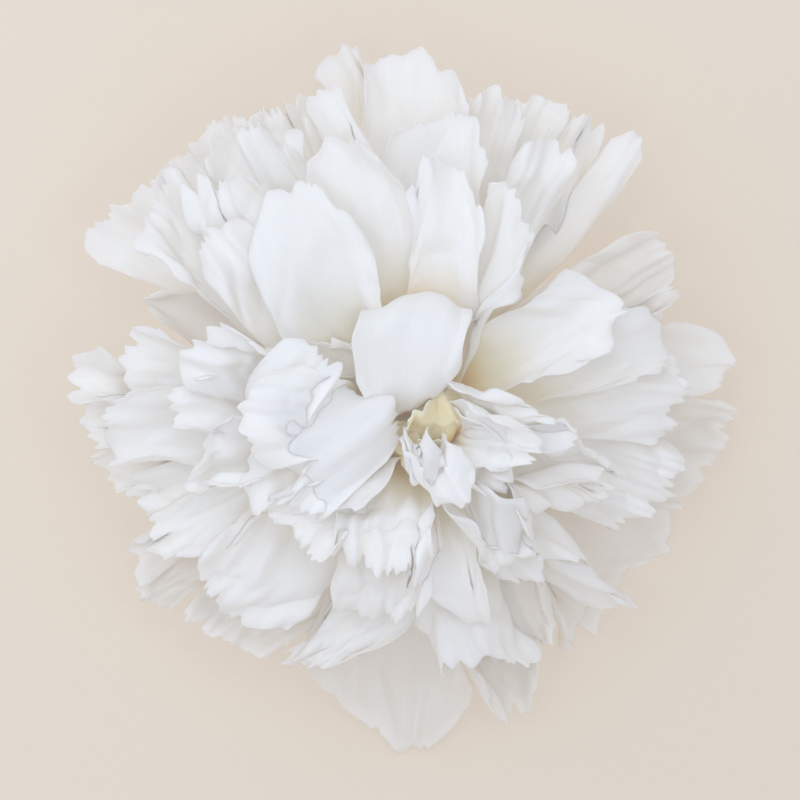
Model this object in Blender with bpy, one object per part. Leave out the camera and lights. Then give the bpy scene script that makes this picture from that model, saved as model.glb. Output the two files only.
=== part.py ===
"""Head of a cut white carnation, lying face up on two of its outer petals and its short stem.

The flower's axis leans from the vertical, as a cut head does on a table. Lengths are in metres, angles in
degrees. X is to the right and Y away from the viewer, seen from above, and Z is up from the table.
"""

import math
from typing import NamedTuple

import bmesh
import bpy
import numpy as np
from mathutils import Matrix, Vector

# Lean of the flower's axis, and the way it leans
LEAN_ANGLE = 18.0
LEAN_BEARING = -57.0

# Heights along the flower's axis, from the throat, which is the mouth of the calyx
CUT_END = -0.0245
CLAWS_TOP = 0.0015

STEM_RADIUS = 0.0020
CLAWS_RADIUS = 0.0052
PETAL_THICKNESS = 0.0007

# A petal's claw: half its width, and how deep it is sunk in the bundle of claws
CLAW_HALF_WIDTH = 0.0008
CLAW_SINK = 0.0035

# Dome over the bloom, from which the petals' heights are measured along the axis
DOME_HEIGHT = 0.022
DOME_FALL = 0.026
DOME_REACH = 0.040
DOME_CENTRE = (0.002, -0.003)

WAVE_SEED = 7


def mm(*lengths):
    """Lengths given in millimetres, in metres."""
    return tuple(0.001 * length for length in lengths)


class Petal(NamedTuple):
    """One petal. Three points of its margin are seen from above, each with its height over the dome."""

    root: float  # bearing of its claw on the throat
    ring: float  # share of the claws' radius where it stands
    first: tuple  # clockwise end of the margin
    middle: tuple  # middle of the margin
    last: tuple  # counterclockwise end of the margin
    bearing: float  # the way the blade runs at the middle of the margin
    fan: float  # how far that turns towards each end
    lean: float  # rise of the blade at the margin
    rise: float  # how far it runs up the axis before it bends out
    swing: float  # height of the pleats
    waves: float  # pleats over the whole margin
    handle: float = 0.42  # how far back from the margin it still runs that way, as a share of its length
    splay: float = 11.0  # how far its claw leans out from the axis
    crown: float = 0.25  # share of the rise by which the sides stay below the middle


# Outer petals, which spread to the bloom's edge
OUTER = (
    Petal(88, 0.95, mm(9, 35.4, -2), mm(1.5, 38.4, -4), mm(-4.8, 38, -2), 91, 10, -12, 0.010, 0.0008, 1.2),
    Petal(104, 0.95, mm(-3.6, 39.9, -10), mm(-5.8, 40.4, -10), mm(-8.8, 37.2, -9), 103, 2, -10, 0.0145, 0.0006, 1),
    Petal(113, 0.95, mm(-9.4, 34.2, -5), mm(-14, 32.7, -6), mm(-20, 30.8, -6), 113, 5, -14, 0.010, 0.0012, 2.2),
    Petal(127, 0.95, mm(-16.6, 31.8, -8), mm(-23, 29.7, -8), mm(-28.4, 25, -8), 127, 5, -14, 0.010, 0.0012, 2.4),
    Petal(142, 0.95, mm(-27.4, 26.4, -6), mm(-32.4, 21.8, -7), mm(-36.3, 16.4, -5), 144, 19, -8, 0.009, 0.001, 1.5, 0.6),
    Petal(174, 0.95, mm(-35.4, 3.8, -3), mm(-37.4, 2.4, -6), mm(-36.6, 0.6, -2), 176, 1, -6, 0.009, 0.0006, 1.0),
    Petal(182, 0.95, mm(-34.8, 0.4, -6), mm(-35.4, -3, -7), mm(-34, -5.5, -6), 184, 3, -12, 0.009, 0.0012, 2.4),
    Petal(194, 0.95, mm(-34.8, -5, -9), mm(-33.6, -8.4, -10), mm(-29.6, -9.8, -9), 194, 3, -14, 0.009, 0.0010, 1.8),
    Petal(214, 0.95, mm(-29, -17.4, -10), mm(-30.2, -21, -11), mm(-27, -24.2, -11), 214, 4, -16, 0.009, 0.0014, 2.6),
    Petal(234, 0.95, mm(-25, -25.2, -9), mm(-19.6, -27.4, -9), mm(-11.4, -29, -10), 234, 4, -16, 0.009, 0.0012, 2.6),
    Petal(269, 0.95, mm(-10.8, -31, -9), mm(-0.4, -39.6, -12.1), mm(6.8, -36, -9), 269, 7, -22, 0.010, 0.0006, 1.0),
    Petal(302, 0.95, mm(12, -33, -9), mm(16.4, -27, -9), mm(17.4, -21, -9), 301, 5, -18, 0.009, 0.0008, 1.2),
    Petal(319, 0.95, mm(20.2, -24.2, -13), mm(21.8, -27.2, -14), mm(24.4, -24.2, -13), 312, 3, -24, 0.009, 0.0008, 1.2),
    Petal(330, 0.95, mm(25.5, -22, -15.6), mm(29.8, -17, -18.4), mm(31.6, -12, -15), 331, 4, -24, 0.01, 0.001, 1.8),
    Petal(350, 0.95, mm(32.4, -12.8, -11), mm(36.8, -6.5, -11), mm(37.2, 1, -10), 351, 5, -12, 0.009, 0.0012, 3.2),
    Petal(7, 0.95, mm(36.8, 1.4, -7), mm(37.4, 5.2, -8), mm(32.8, 8.8, -6.5), 8, 3, -8, 0.009, 0.0004, 1.2),
    Petal(24, 0.95, mm(31.2, 9.2, -4), mm(30.8, 14.4, -5), mm(27.8, 20.2, -3), 26, 6, -6, 0.010, 0.0024, 3.4),
    Petal(49, 0.95, mm(27.6, 27.4, -2.5), mm(27.2, 29.4, -1), mm(24.2, 29.8, -3), 50, 0, 0, 0.0118, 0.0003, 1),
    Petal(60, 0.95, mm(23.6, 29.8, -5), mm(19, 33.4, -6), mm(13.5, 34, -6), 60, 4, -8, 0.010, 0.0020, 3.4),
    Petal(73, 0.95, mm(14.5, 32.4, -5), mm(11, 34.6, -5), mm(7, 35, -5), 72, 4, -10, 0.010, 0.0016, 2.6),
)

# Petals of the middle, which lie over the outer ones
MIDDLE = (
    Petal(80, 0.75, mm(11, 27.5, -1), mm(5.5, 31.5, -2), mm(-1.5, 30, -1), 80, 6, -6, 0.012, 0.0008, 1.5),
    Petal(97, 0.80, mm(-6.9, 34.8, 1), mm(-8.4, 35, 1), mm(-10.6, 32.6, -2), 126, 1, -4, 0.012, 0.0004, 1.0),
    Petal(120, 0.75, mm(-12, 30.5, -2), mm(-17, 30.5, -3), mm(-23, 27.5, -3), 120, 5, -10, 0.012, 0.0012, 2.2),
    Petal(133, 0.75, mm(-25, 26.5, -2), mm(-28.6, 21.2, -2), mm(-30.3, 16.1, 0), 136, 17, -8, 0.012, 0.0012, 2.0),
    Petal(131, 0.65, mm(-15, 24.8, 1), mm(-20.5, 24.8, 1), mm(-25, 23.5, 0), 112, 4, -6, 0.014, 0.0008, 1.5),
    Petal(168, 0.80, mm(-29.5, 8.4, -2), mm(-30.5, 5, -5), mm(-30.5, 0.5, -5), 171, 14, -6, 0.010, 0.0010, 2.0),
    Petal(187, 0.75, mm(-30.5, 1, -3), mm(-33.2, -4, -4), mm(-31, -8.5, -3), 188, 4, -10, 0.011, 0.0010, 1.5),
    Petal(200, 0.8, mm(-30.2, -8, -6), mm(-29.4, -11.6, -6), mm(-27.2, -15.2, -6), 200, 3, -12, 0.01, 0.0012, 2),
    Petal(209, 0.70, mm(-28, -14, -4), mm(-28, -16.8, -4), mm(-22, -18.3, -3), 210, 4, -8, 0.011, 0.0012, 2.0),
    Petal(228, 0.7, mm(-23.4, -17.6, -4), mm(-19.5, -23.8, -2), mm(-13.5, -27.6, -4), 228, 7, -10, 0.012, 0.001, 1.5),
    Petal(252, 0.75, mm(-14.6, -30.4, -4), mm(-9.5, -30.2, -5), mm(-3.5, -29.8, -4), 216, 4, -12, 0.011, 0.0014, 2.4),
    Petal(289, 0.80, mm(8, -33.8, -7), mm(13.2, -36.6, -8), mm(17.2, -31.2, -7), 290, 4, -14, 0.011, 0.0010, 2.4),
    Petal(284, 0.70, mm(4.5, -32, -5), mm(9.5, -28.8, -1), mm(16.8, -30.4, -4), 297, 7, -10, 0.012, 0.0006, 1.0),
    Petal(318, 0.75, mm(25, -23, -7), mm(26.2, -21.6, -7), mm(22.6, -17.6, -5), 348, 2, -10, 0.011, 0.0006, 1.2, 0.55),
    Petal(338, 0.80, mm(24.5, -15, -7), mm(30, -10.5, -6), mm(31.6, -5, -6), 338, 5, -8, 0.010, 0.0020, 3.4),
    Petal(358, 0.75, mm(31, -6, -3), mm(31.6, -0.5, -3), mm(31, 5, -4), 346, 5, -8, 0.012, 0.0016, 2.4),
    Petal(12, 0.70, mm(27.5, 2, -1), mm(30, 6.5, -2), mm(27.5, 10.2, -2), 12, 4, -6, 0.012, 0.0012, 2.0),
    Petal(28, 0.65, mm(20.5, 4.5, 2), mm(24.2, 9.5, 1), mm(20.5, 14.4, 2), 15, 5, -2, 0.0135, 0.0006, 1.0),
    Petal(61, 0.75, mm(20.4, 26.2, -2), mm(18, 28.5, -1), mm(13.6, 29.4, -1), 61, 4, -2, 0.012, 0.0014, 2.0),
    Petal(47, 0.60, mm(13, 13, 0), mm(14.6, 19, 3), mm(11.8, 25, 2), 54, 5, 12, 0.014, 0.0010, 1.6),
    Petal(78, 0.60, mm(9.5, 20, 2), mm(5.0, 26, 2), mm(0.8, 25, 2), 92, 5, 0, 0.014, 0.0010, 1.6),
    Petal(100, 0.65, mm(0.5, 26, 1), mm(-5.5, 28.6, 1), mm(-11.5, 24.5, 0), 110, 5, -2, 0.014, 0.0012, 2.0),
    Petal(135, 0.60, mm(-4.5, 20, 1), mm(-11, 23.6, 1.6), mm(-17.4, 17, 1), 100, 5, -20, 0.014, 0.0005, 1.0),
    Petal(138, 0.65, mm(-15.6, 19.4, 0), mm(-20.4, 18.7, 1), mm(-23, 14.8, 1), 123, 4, -12, 0.013, 0.0005, 1.0),
)

# Petals of the heart, round the hollow, and last a low one that fills the gap on the left
INNER = (
    Petal(86, 0.6, mm(5.8, 1.6, -2), mm(0.2, -1.2, -5), mm(-4.9, 1.8, -3), 266, 12, -26, 0.03, 0.0005, 1, 0.8, 48, 0.5),
    Petal(205, 0.75, mm(-6.9, 3.9, -3), mm(-2.2, -0.9, -4), mm(-0.8, -6, -3), 28, 9, -22, 0.028, 0.0006, 2, 0.8, 36),
    Petal(168, 0.60, mm(-17, 5.2, 1), mm(-22.8, 7.2, 1), mm(-24, 1, 0), 168, 4, -6, 0.015, 0.0008, 1.6),
    Petal(184, 0.65, mm(-22.5, 4, -1), mm(-25.5, 0, -1), mm(-22, -4.5, -1), 184, 4, -8, 0.015, 0.0010, 2.0),
    Petal(203, 0.60, mm(-20.5, -3, 1), mm(-23.3, -9.4, -1), mm(-18, -10, 1), 204, 4, -8, 0.015, 0.0012, 2.4),
    Petal(236, 0.60, mm(-14.6, -12, 1), mm(-12, -15.4, 1), mm(-7, -17.6, 2), 236, 6, -8, 0.016, 0.0010, 2.0),
    Petal(264, 0.58, mm(-8, -16.8, 2), mm(-2.5, -18.9, 2), mm(3.8, -18.6, 2), 264, 6, -6, 0.016, 0.0012, 2.0),
    Petal(262, 0.65, mm(-7.5, -23.5, -1), mm(-2, -24.8, -2), mm(4.2, -22.3, 0), 262, 5, -10, 0.014, 0.0010, 2.0),
    Petal(292, 0.60, mm(4, -20, 1), mm(9.2, -25.2, -1), mm(10.8, -20.5, 1), 290, 3, -12, 0.014, 0.0005, 1.0),
    Petal(305, 0.60, mm(7.8, -16.5, 3), mm(11.5, -18.7, 0), mm(12.4, -13.3, 4), 304, 3, -6, 0.016, 0.0005, 1.0),
    Petal(317, 0.55, mm(13, -17.2, 1), mm(15.7, -16.5, 0), mm(14.6, -12.4, 3), 317, 2, -4, 0.015, 0.0005, 1.0),
    Petal(316, 0.65, mm(12, -20.8, -4), mm(17, -19.4, -4), mm(21, -17, -5), 318, 4, -8, 0.013, 0.0012, 2.0),
    Petal(336, 0.60, mm(15.5, -12.9, 0), mm(21.3, -11, -2), mm(24.8, -9.3, -2), 336, 4, -8, 0.014, 0.0010, 2.0),
    Petal(344, 0.60, mm(18, -9.6, 2), mm(24.2, -7.6, 0), mm(19, -3.4, 4), 342, 4, -6, 0.015, 0.0016, 3.0),
    Petal(352, 0.60, mm(19.2, -6, 2), mm(16.8, -2, 3), mm(11.2, 1, 1), 352, 5, 0, 0.015, 0.0010, 2.2),
    Petal(300, 0.58, mm(2.6, -8.2, 3), mm(5.8, -11.4, 3), mm(8.4, -8, 3), 300, 6, 4, 0.017, 0.0008, 1.6),
    Petal(318, 0.5, mm(-0.3, -2.8, -4), mm(3, -0.4, -4), mm(6.8, 0.8, -4), 110, 6, 5, 0.019, 0.0006, 1.6, 0.28, 8),
    Petal(235, 0.5, mm(-1.2, -2.2, -6), mm(1.2, -3.4, -5), mm(2.2, -6.2, -5), 40, 6, 5, 0.018, 0.0005, 1.6, 0.28, 8),
    Petal(280, 0.5, mm(2.4, -5.6, -3), mm(3.7, -4.3, -2), mm(5.6, -5.4, -3), 95, 4, 5, 0.019, 0.0004, 1.2, 0.28, 8),
    Petal(140, 0.50, mm(-4.5, 6.5, -7), mm(-9, 7, -8), mm(-11, 3.5, -7), 150, 4, -5, 0.014, 0.0006, 1.4),
    Petal(190, 0.75, mm(-13, 7, 0), mm(-9.4, 4.9, -1), mm(-6.9, 3.2, -2), 45, 8, -12, 0.026, 0.0008, 1.5, 0.6, 34),
    Petal(192, 0.80, mm(-13.8, 3, 3), mm(-17.4, -2, 3), mm(-14.4, -7.8, 3), 190, 8, -4, 0.019, 0.0012, 2.4),
    Petal(226, 0.65, mm(-16.4, -8, 1), mm(-16.2, -11.6, 0), mm(-11.4, -12, 2), 232, 4, -8, 0.016, 0.0008, 1.5),
    Petal(238, 0.50, mm(-12, -7.6, 0), mm(-11, -11.6, 0), mm(-4.2, -12.4, 1), 236, 6, -6, 0.016, 0.0008, 1.6),
    Petal(335, 0.55, mm(7.6, -10.2, 1), mm(11.4, -9.4, 1), mm(11.6, -3.4, 2), 330, 5, 0, 0.016, 0.0008, 1.6),
    Petal(292, 0.58, mm(1.8, -6.8, 2), mm(2.8, -9.2, 2), mm(4.8, -6.8, 2), 290, 4, 8, 0.017, 0.0004, 1.2),
    Petal(350, 0.50, mm(12.4, -7.4, 4), mm(15.4, -4.8, 4), mm(12.6, -0.6, 4), 348, 6, 6, 0.017, 0.0010, 2.0),
    Petal(160, 0.95, mm(-26.6, 13.2, -9), mm(-28.8, 11, -10), mm(-27, 8.6, -9), 158, 3, -12, 0.009, 0.0006, 1.2),
)


def flower_axis():
    """The unit vector of the flower's axis."""
    lean = math.radians(LEAN_ANGLE)
    bearing = math.radians(LEAN_BEARING)
    flat = math.sin(lean)
    return np.array((flat * math.cos(bearing), flat * math.sin(bearing), math.cos(lean)))


AXIS = flower_axis()
THROAT = np.array((0.0, 0.0, -CUT_END * AXIS[2] + STEM_RADIUS * math.sin(math.radians(LEAN_ANGLE))))


def radial(bearing):
    """Unit vectors square to the axis that have these bearings seen from above."""
    turn = np.radians(np.asarray(bearing, dtype=float))
    x, y = np.cos(turn), np.sin(turn)
    vectors = np.stack((x, y, -(x * AXIS[0] + y * AXIS[1]) / AXIS[2]), axis=-1)
    return unit(vectors)


def unit(vectors):
    """Vectors at their length of one."""
    return vectors / np.linalg.norm(vectors, axis=-1, keepdims=True)


def over_dome(spot):
    """The point seen from above at a spot's x and y, at its height over the bloom's dome."""
    x, y, over = spot
    away = ((x - DOME_CENTRE[0]) ** 2 + (y - DOME_CENTRE[1]) ** 2) / DOME_REACH**2
    lift = DOME_HEIGHT - DOME_FALL * away + over
    return THROAT + np.array((x, y, (lift - x * AXIS[0] - y * AXIS[1]) / AXIS[2]))


def draws(index, count):
    """Phases drawn for one petal, always the same."""
    return np.random.default_rng(WAVE_SEED + index).uniform(0, 2 * math.pi, count)


def lobes(index, across):
    """Shallow lobes of a petal's margin, and its rounded ends, as a share of the margin's span."""
    phase = draws(index + 500, 3)
    wave = np.sin(3 * across + phase[0])
    wave = wave + 0.7 * np.sin(7 * across + phase[1] + wave)
    wave = wave + 0.5 * np.sin(13 * across + phase[2])
    return 0.045 * wave - 0.16 * across**6


def pleats(petal, index, across):
    """Height of the pleats across the blade, as a share of their swing: three waves of rising pitch."""
    phase = draws(index, 3)
    turn = math.pi * petal.waves * across
    first = np.sin(turn + phase[0])
    second = np.sin(1.7 * turn + phase[1] + 0.8 * first)
    third = np.sin(3.1 * turn + phase[2])
    return 0.4 * (0.62 * first + 0.34 * second + 0.16 * third)


def buckles(index, x, y):
    """Broad soft buckles over a blade, from about -1 to 1, at x across it and y along it."""
    phase = draws(index + 900, 6)
    first = np.sin(330 * x + 150 * y + phase[0] + 1.3 * np.sin(240 * y + phase[1]))
    second = np.sin(430 * x - 350 * y + phase[2] + 1.3 * np.sin(280 * x + phase[3]))
    third = np.sin(610 * y + 250 * x + phase[4] + 1.6 * np.sin(520 * x + phase[5]))
    return 0.55 * first + 0.35 * second + 0.25 * third


# Where a petal's pleats start, how early its sides widen, how high it buckles and how far its margin is let out
PLEAT_START = 0.30
SHOULDER = 0.42
BUCKLE = 0.0016
SPREAD = 0.0010


def petal_sheet(petal, index, across, along):
    """Points and unit normals of a petal's middle surface, a fan of cubic curves from claw to margin.

    across runs from -1, the clockwise side, to 1. along runs from 0 at the claw to 1 at the margin.
    """
    u, v = np.meshgrid(across, along)
    u, v = u[..., None], v[..., None]
    root = radial(petal.root)
    splay = math.radians(petal.splay)
    start = AXIS * math.cos(splay) + root * math.sin(splay)
    foot = THROAT + root * petal.ring * CLAWS_RADIUS + AXIS * (CLAWS_TOP - CLAW_SINK)
    broad = np.cross(AXIS, root)
    foot = foot + broad * CLAW_HALF_WIDTH * u
    ends = [over_dome(spot) for spot in (petal.first, petal.middle, petal.last)]
    edge = ends[1] * (1 - u**2) + ends[0] * (u**2 - u) / 2 + ends[2] * (u**2 + u) / 2
    lean = math.radians(petal.lean)
    run = radial(petal.bearing + petal.fan * u[..., 0]) * math.cos(lean) + AXIS * math.sin(lean)
    reach = np.linalg.norm(ends[1] - foot[0, 0])
    span = np.linalg.norm(ends[2] - ends[0])
    edge = edge + run * (span * lobes(index, u) + SPREAD)
    bend = edge - run * reach * petal.handle
    rise = foot + start * petal.rise * (1 - petal.crown * u**2) + broad * SHOULDER * span * u
    points = foot * (1 - v) ** 3 + rise * 3 * v * (1 - v) ** 2 + bend * 3 * v**2 * (1 - v) + edge * v**3
    swell = np.clip((v - PLEAT_START) / (1 - PLEAT_START), 0, 1)
    height = petal.swing * swell**2.4 * pleats(petal, index, u)
    height = height + BUCKLE * swell * buckles(index, u * span / 2, v * reach)
    points = points + sheet_normals(points) * height
    return points, sheet_normals(points)


def sheet_normals(points):
    """Unit normals of a grid of points, on the side that faces up the flower."""
    down = np.gradient(points, axis=0)
    side = np.gradient(points, axis=1)
    return unit(np.cross(down, side))


# Grid of a petal in the solid: points across it, and where its rows lie from claw to margin
WIDE_PETAL = 0.0150
WIDE_COLUMNS = 6
WIDE_ROWS = (0.0, 0.35, 0.68, 1.0)
NARROW_COLUMNS = 4
NARROW_ROWS = (0.0, 0.40, 0.72, 1.0)
TOOTH_DEPTH = 0.0011

# Bundle of claws: its radius and height along the axis, from its top to its foot
CLAWS_OUTLINE = (mm(5.2, 1.5), mm(5.0, -9.0), mm(4.3, -15.0), mm(3.0, -19.0))
CLAWS_BORE = 0.0024

# Calyx: its outer radius and height, from its foot to its mouth, and its wall
CALYX_OUTLINE = (mm(3.4, -21.8), mm(4.5, -21.0), mm(5.3, -19.0), mm(6.0, -15.0), mm(6.3, -9.0), mm(6.4, -6.0))
CALYX_WALL = 0.0008
CALYX_FLOOR = 0.0009
CALYX_HOLE = 0.0023
TEETH = 5
TEETH_FOOT = -0.0068
TEETH_TIP = -0.0024
TEETH_FLARE = 0.08

# Scales round the calyx's foot, in two pairs, and the ring that holds them
SCALE_THICKNESS = 0.0007
SCALE_HEIGHTS = mm(9.0, 7.0, 9.0, 7.0)
SCALE_HALF_ANGLE = 38.0
SCALE_GAP = 0.0003
SCALE_FOOT = -0.0225
SCALE_RING = (mm(2.3, -23.5), mm(3.4, -23.5), mm(4.3, -22.7), mm(4.3, -22.1), mm(2.3, -22.1))

# Stem with its domed top inside the calyx, as radius and height
STEM_OUTLINE = (mm(0, -24.5), mm(2, -24.5), mm(2, -20.6), mm(1.6, -19.9), mm(0.8, -19.5), mm(0, -19.4))

# Pistil: ovary as radius and height, and the tips of its two curled styles
OVARY_OUTLINE = (mm(0, -19), mm(1, -18.7), mm(1.5, -17), mm(1.5, -12), mm(0.9, -9), mm(0.5, -7.5), mm(0, -7.4))
STYLE_RADIUS = 0.00045
STYLE_FOOT = -0.0100
STYLE_TIPS = (mm(1.6, 1.0, 7.0), mm(-1.7, 0.8, 6.0))


def on_axis(x, y, z):
    """Points given across and along the flower's axis, from the throat, in the world."""
    right = radial(0.0)
    ahead = np.cross(AXIS, right)
    x, y, z = (part[..., None] for part in np.broadcast_arrays(x, y, z))
    return THROAT + x * right + y * ahead + z * AXIS


def make_object(name, points, faces):
    """A mesh object of points and faces, with double points joined and its faces outward."""
    mesh = bpy.data.meshes.new(name)
    mesh.from_pydata(points.reshape(-1, 3).tolist(), [], faces)
    shape = bmesh.new()
    shape.from_mesh(mesh)
    bmesh.ops.remove_doubles(shape, verts=shape.verts, dist=1e-6)
    wires = [edge for edge in shape.edges if not edge.link_faces]
    bmesh.ops.delete(shape, geom=wires, context="EDGES")
    bmesh.ops.recalc_face_normals(shape, faces=shape.faces)
    shape.to_mesh(mesh)
    shape.free()
    made = bpy.data.objects.new(name, mesh)
    bpy.context.scene.collection.objects.link(made)
    return made


def slab(name, upper, lower):
    """A closed slab between two grids of points of the same shape, both cut alike into triangles."""
    rows, columns = upper.shape[:2]
    count = rows * columns
    number = np.arange(count).reshape(rows, columns).tolist()
    faces = []
    for row in range(rows - 1):
        for column in range(columns - 1):
            a, b = number[row][column], number[row][column + 1]
            d, c = number[row + 1][column], number[row + 1][column + 1]
            if (row + column) % 2:
                faces += [(a, b, c), (a, c, d)]
            else:
                faces += [(a, b, d), (b, c, d)]
    faces += [tuple(count + corner for corner in reversed(face)) for face in faces]
    rim = number[0][:-1] + [row[-1] for row in number[:-1]]
    rim += number[-1][:0:-1] + [row[0] for row in number[:0:-1]]
    for a, b in zip(rim, rim[1:] + rim[:1]):
        faces += [(b, a, count + a), (b, count + a, count + b)]
    return make_object(name, np.concatenate((upper.reshape(-1, 3), lower.reshape(-1, 3))), faces)


def petal_solid(petal, index):
    """One petal as a thin solid with a toothed margin, its foot narrowed to its two corners."""
    wide = math.dist(petal.first[:2], petal.last[:2]) > WIDE_PETAL
    columns = WIDE_COLUMNS if wide else NARROW_COLUMNS
    rows = WIDE_ROWS if wide else NARROW_ROWS
    points, normals = petal_sheet(petal, index, np.linspace(-1, 1, columns), np.array(rows))
    for grid in (points, normals):
        grid[0, : columns // 2] = grid[0, 0]
        grid[0, columns // 2 :] = grid[0, -1]
    back = points[-2] - points[-1]
    depth = TOOTH_DEPTH / np.linalg.norm(back, axis=-1, keepdims=True)
    points[-1, ::2] += (back * depth)[::2]
    half = normals * PETAL_THICKNESS / 2
    return slab(f"petal_{index}", points + half, points - half)


def ring_solid(name, radius, height):
    """A closed solid round the flower's axis from grids of radius and height, one row for each turn."""
    turn = np.linspace(0, 2 * math.pi, radius.shape[0], endpoint=False)[:, None]
    points = on_axis(np.cos(turn) * radius, np.sin(turn) * radius, height)
    number = np.arange(radius.size).reshape(radius.shape)
    ahead = np.roll(number, -1, axis=0)
    faces = np.stack((number, ahead, np.roll(ahead, -1, axis=1), np.roll(number, -1, axis=1)), axis=-1)
    return make_object(name, points, faces.reshape(-1, 4).tolist())


def turned(name, outline, steps):
    """A closed solid turned round the flower's axis from an outline of radius and height."""
    radius, height = np.array(outline).T
    return ring_solid(name, np.tile(radius, (steps, 1)), np.tile(height, (steps, 1)))


def calyx_radius(height):
    """Outer radius of the calyx at these heights, flared above its mouth."""
    radius, level = np.array(CALYX_OUTLINE).T
    flare = np.clip(height - level[-1], 0, None) * TEETH_FLARE
    return np.interp(height, level, radius) + flare


def build_calyx():
    """The calyx: a tube with a floor, a hole for the stem and five pointed teeth."""
    steps, levels = 60, 8
    turn = np.arange(steps) * TEETH / steps % 1
    top = TEETH_FOOT + (TEETH_TIP - TEETH_FOOT) * (1 - np.abs(2 * turn - 1))
    share = np.linspace(0, 1, levels)
    foot = CALYX_OUTLINE[0][1]
    outside = foot + (top[:, None] - foot) * share
    inside = foot + CALYX_FLOOR + (top[:, None] - foot - CALYX_FLOOR) * share[::-1]
    floor = np.tile((foot + CALYX_FLOOR, foot), (steps, 1))
    height = np.concatenate((outside, inside, floor), axis=1)
    radius = np.concatenate((calyx_radius(outside), calyx_radius(inside) - CALYX_WALL), axis=1)
    hole = np.full((steps, 2), CALYX_HOLE)
    return ring_solid("calyx", np.concatenate((radius, hole), axis=1), height)


def build_scale(bearing, tall):
    """One scale: a pointed leaf that lies along the calyx."""
    across, along = np.meshgrid(np.linspace(-1, 1, 7), np.linspace(0, 1, 7))
    height = SCALE_FOOT + along * tall
    half = SCALE_HALF_ANGLE * np.sqrt(1 - 0.94 * along**2)
    turn = np.radians(bearing + across * half)
    near = calyx_radius(height) + SCALE_GAP + 0.0004 * along**2
    far = near + SCALE_THICKNESS
    lower = on_axis(np.cos(turn) * near, np.sin(turn) * near, height)
    upper = on_axis(np.cos(turn) * far, np.sin(turn) * far, height)
    return slab(f"scale_{bearing}", upper, lower)


def build_bracts():
    """Two pairs of scales on the ring below the calyx."""
    ring = turned("bracts", SCALE_RING, 32)
    scales = [build_scale(20 + 90 * number, tall) for number, tall in enumerate(SCALE_HEIGHTS)]
    fuse(ring, scales)
    return ring


def build_style(tip):
    """One style: a round thread that rises up the axis and curls over at its tip."""
    across = np.array(tip[:2])
    side = across / np.linalg.norm(across)
    t = np.linspace(0, 1, 14)[:, None]
    out = np.array((0.0003, 0.0002, 0.0, np.linalg.norm(across)))
    up = np.array((STYLE_FOOT, 0.004, tip[2], tip[2]))
    weights = np.concatenate(((1 - t) ** 3, 3 * t * (1 - t) ** 2, 3 * t**2 * (1 - t), t**3), axis=1)
    path = np.stack((weights @ out, weights @ up), axis=1)
    ahead = unit(np.gradient(path, axis=0))
    turn = np.linspace(0, 2 * math.pi, 8, endpoint=False)
    girth = STYLE_RADIUS * np.concatenate(([0.0], np.ones(len(t)), [0.0]))[:, None]
    path = np.concatenate((path[:1], path, path[-1:]))
    ahead = np.concatenate((ahead[:1], ahead, ahead[-1:]))
    outward = path[:, :1] + girth * np.cos(turn) * ahead[:, 1:]
    height = path[:, 1:] - girth * np.cos(turn) * ahead[:, :1]
    sideways = girth * np.sin(turn)
    points = on_axis(outward * side[0] - sideways * side[1], outward * side[1] + sideways * side[0], height)
    number = np.arange(points.shape[0] * 8).reshape(-1, 8)
    beside = np.roll(number, -1, axis=1)
    faces = np.stack((number[:-1], beside[:-1], beside[1:], number[1:]), axis=-1)
    return make_object("style", points, faces.reshape(-1, 4).tolist())


def build_pistil():
    """The ovary with its two styles."""
    ovary = turned("pistil", OVARY_OUTLINE, 16)
    fuse(ovary, [build_style(tip) for tip in STYLE_TIPS])
    return ovary


def build_petals():
    """All the petals, joined to the bundle of their claws."""
    foot = CLAWS_OUTLINE[-1][1]
    bore = ((CLAWS_BORE, foot), (CLAWS_BORE, CLAWS_OUTLINE[0][1]))
    bundle = turned("petals", CLAWS_OUTLINE + bore, 24)
    petals = OUTER + MIDDLE + INNER
    fuse(bundle, [petal_solid(petal, index) for index, petal in enumerate(petals)])
    return bundle


def fuse(base, pieces):
    """Join the pieces to the base, and keep the one body that results."""
    group = bpy.data.collections.new("pieces")
    bpy.context.scene.collection.children.link(group)
    for piece in pieces:
        group.objects.link(piece)
    joint = base.modifiers.new("Union", "BOOLEAN")
    joint.operation = "UNION"
    joint.operand_type = "COLLECTION"
    joint.collection = group
    joint.solver = "MANIFOLD"
    bpy.context.view_layer.objects.active = base
    bpy.ops.object.modifier_apply(modifier=joint.name)
    for piece in pieces:
        bpy.data.objects.remove(piece)
    bpy.data.collections.remove(group)
    keep_largest(base)


def keep_largest(target):
    """Leave only the largest body of an object's mesh, without the hollows sealed in it."""
    shape = bmesh.new()
    shape.from_mesh(target.data)
    left = set(shape.verts)
    bodies = []
    while left:
        body = [left.pop()]
        for vert in body:
            for edge in vert.link_edges:
                other = edge.other_vert(vert)
                if other in left:
                    left.remove(other)
                    body.append(other)
        bodies.append(body)
    bodies.sort(key=len)
    bmesh.ops.delete(shape, geom=[vert for body in bodies[:-1] for vert in body], context="VERTS")
    bmesh.ops.triangulate(shape, faces=shape.faces)
    shape.to_mesh(target.data)
    shape.free()


def finish(node, colour, roughness):
    """Give a node its own material and smooth shading with crisp edges."""
    material = bpy.data.materials.new(f"{node.name}_finish")
    material.use_nodes = True
    shader = material.node_tree.nodes["Principled BSDF"]
    shader.inputs["Base Color"].default_value = (*colour, 1.0)
    shader.inputs["Roughness"].default_value = roughness
    shader.inputs["Metallic"].default_value = 0.0
    node.data.materials.append(material)
    node.data.shade_smooth()
    node.data.set_sharp_from_angle(angle=math.radians(40))


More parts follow.
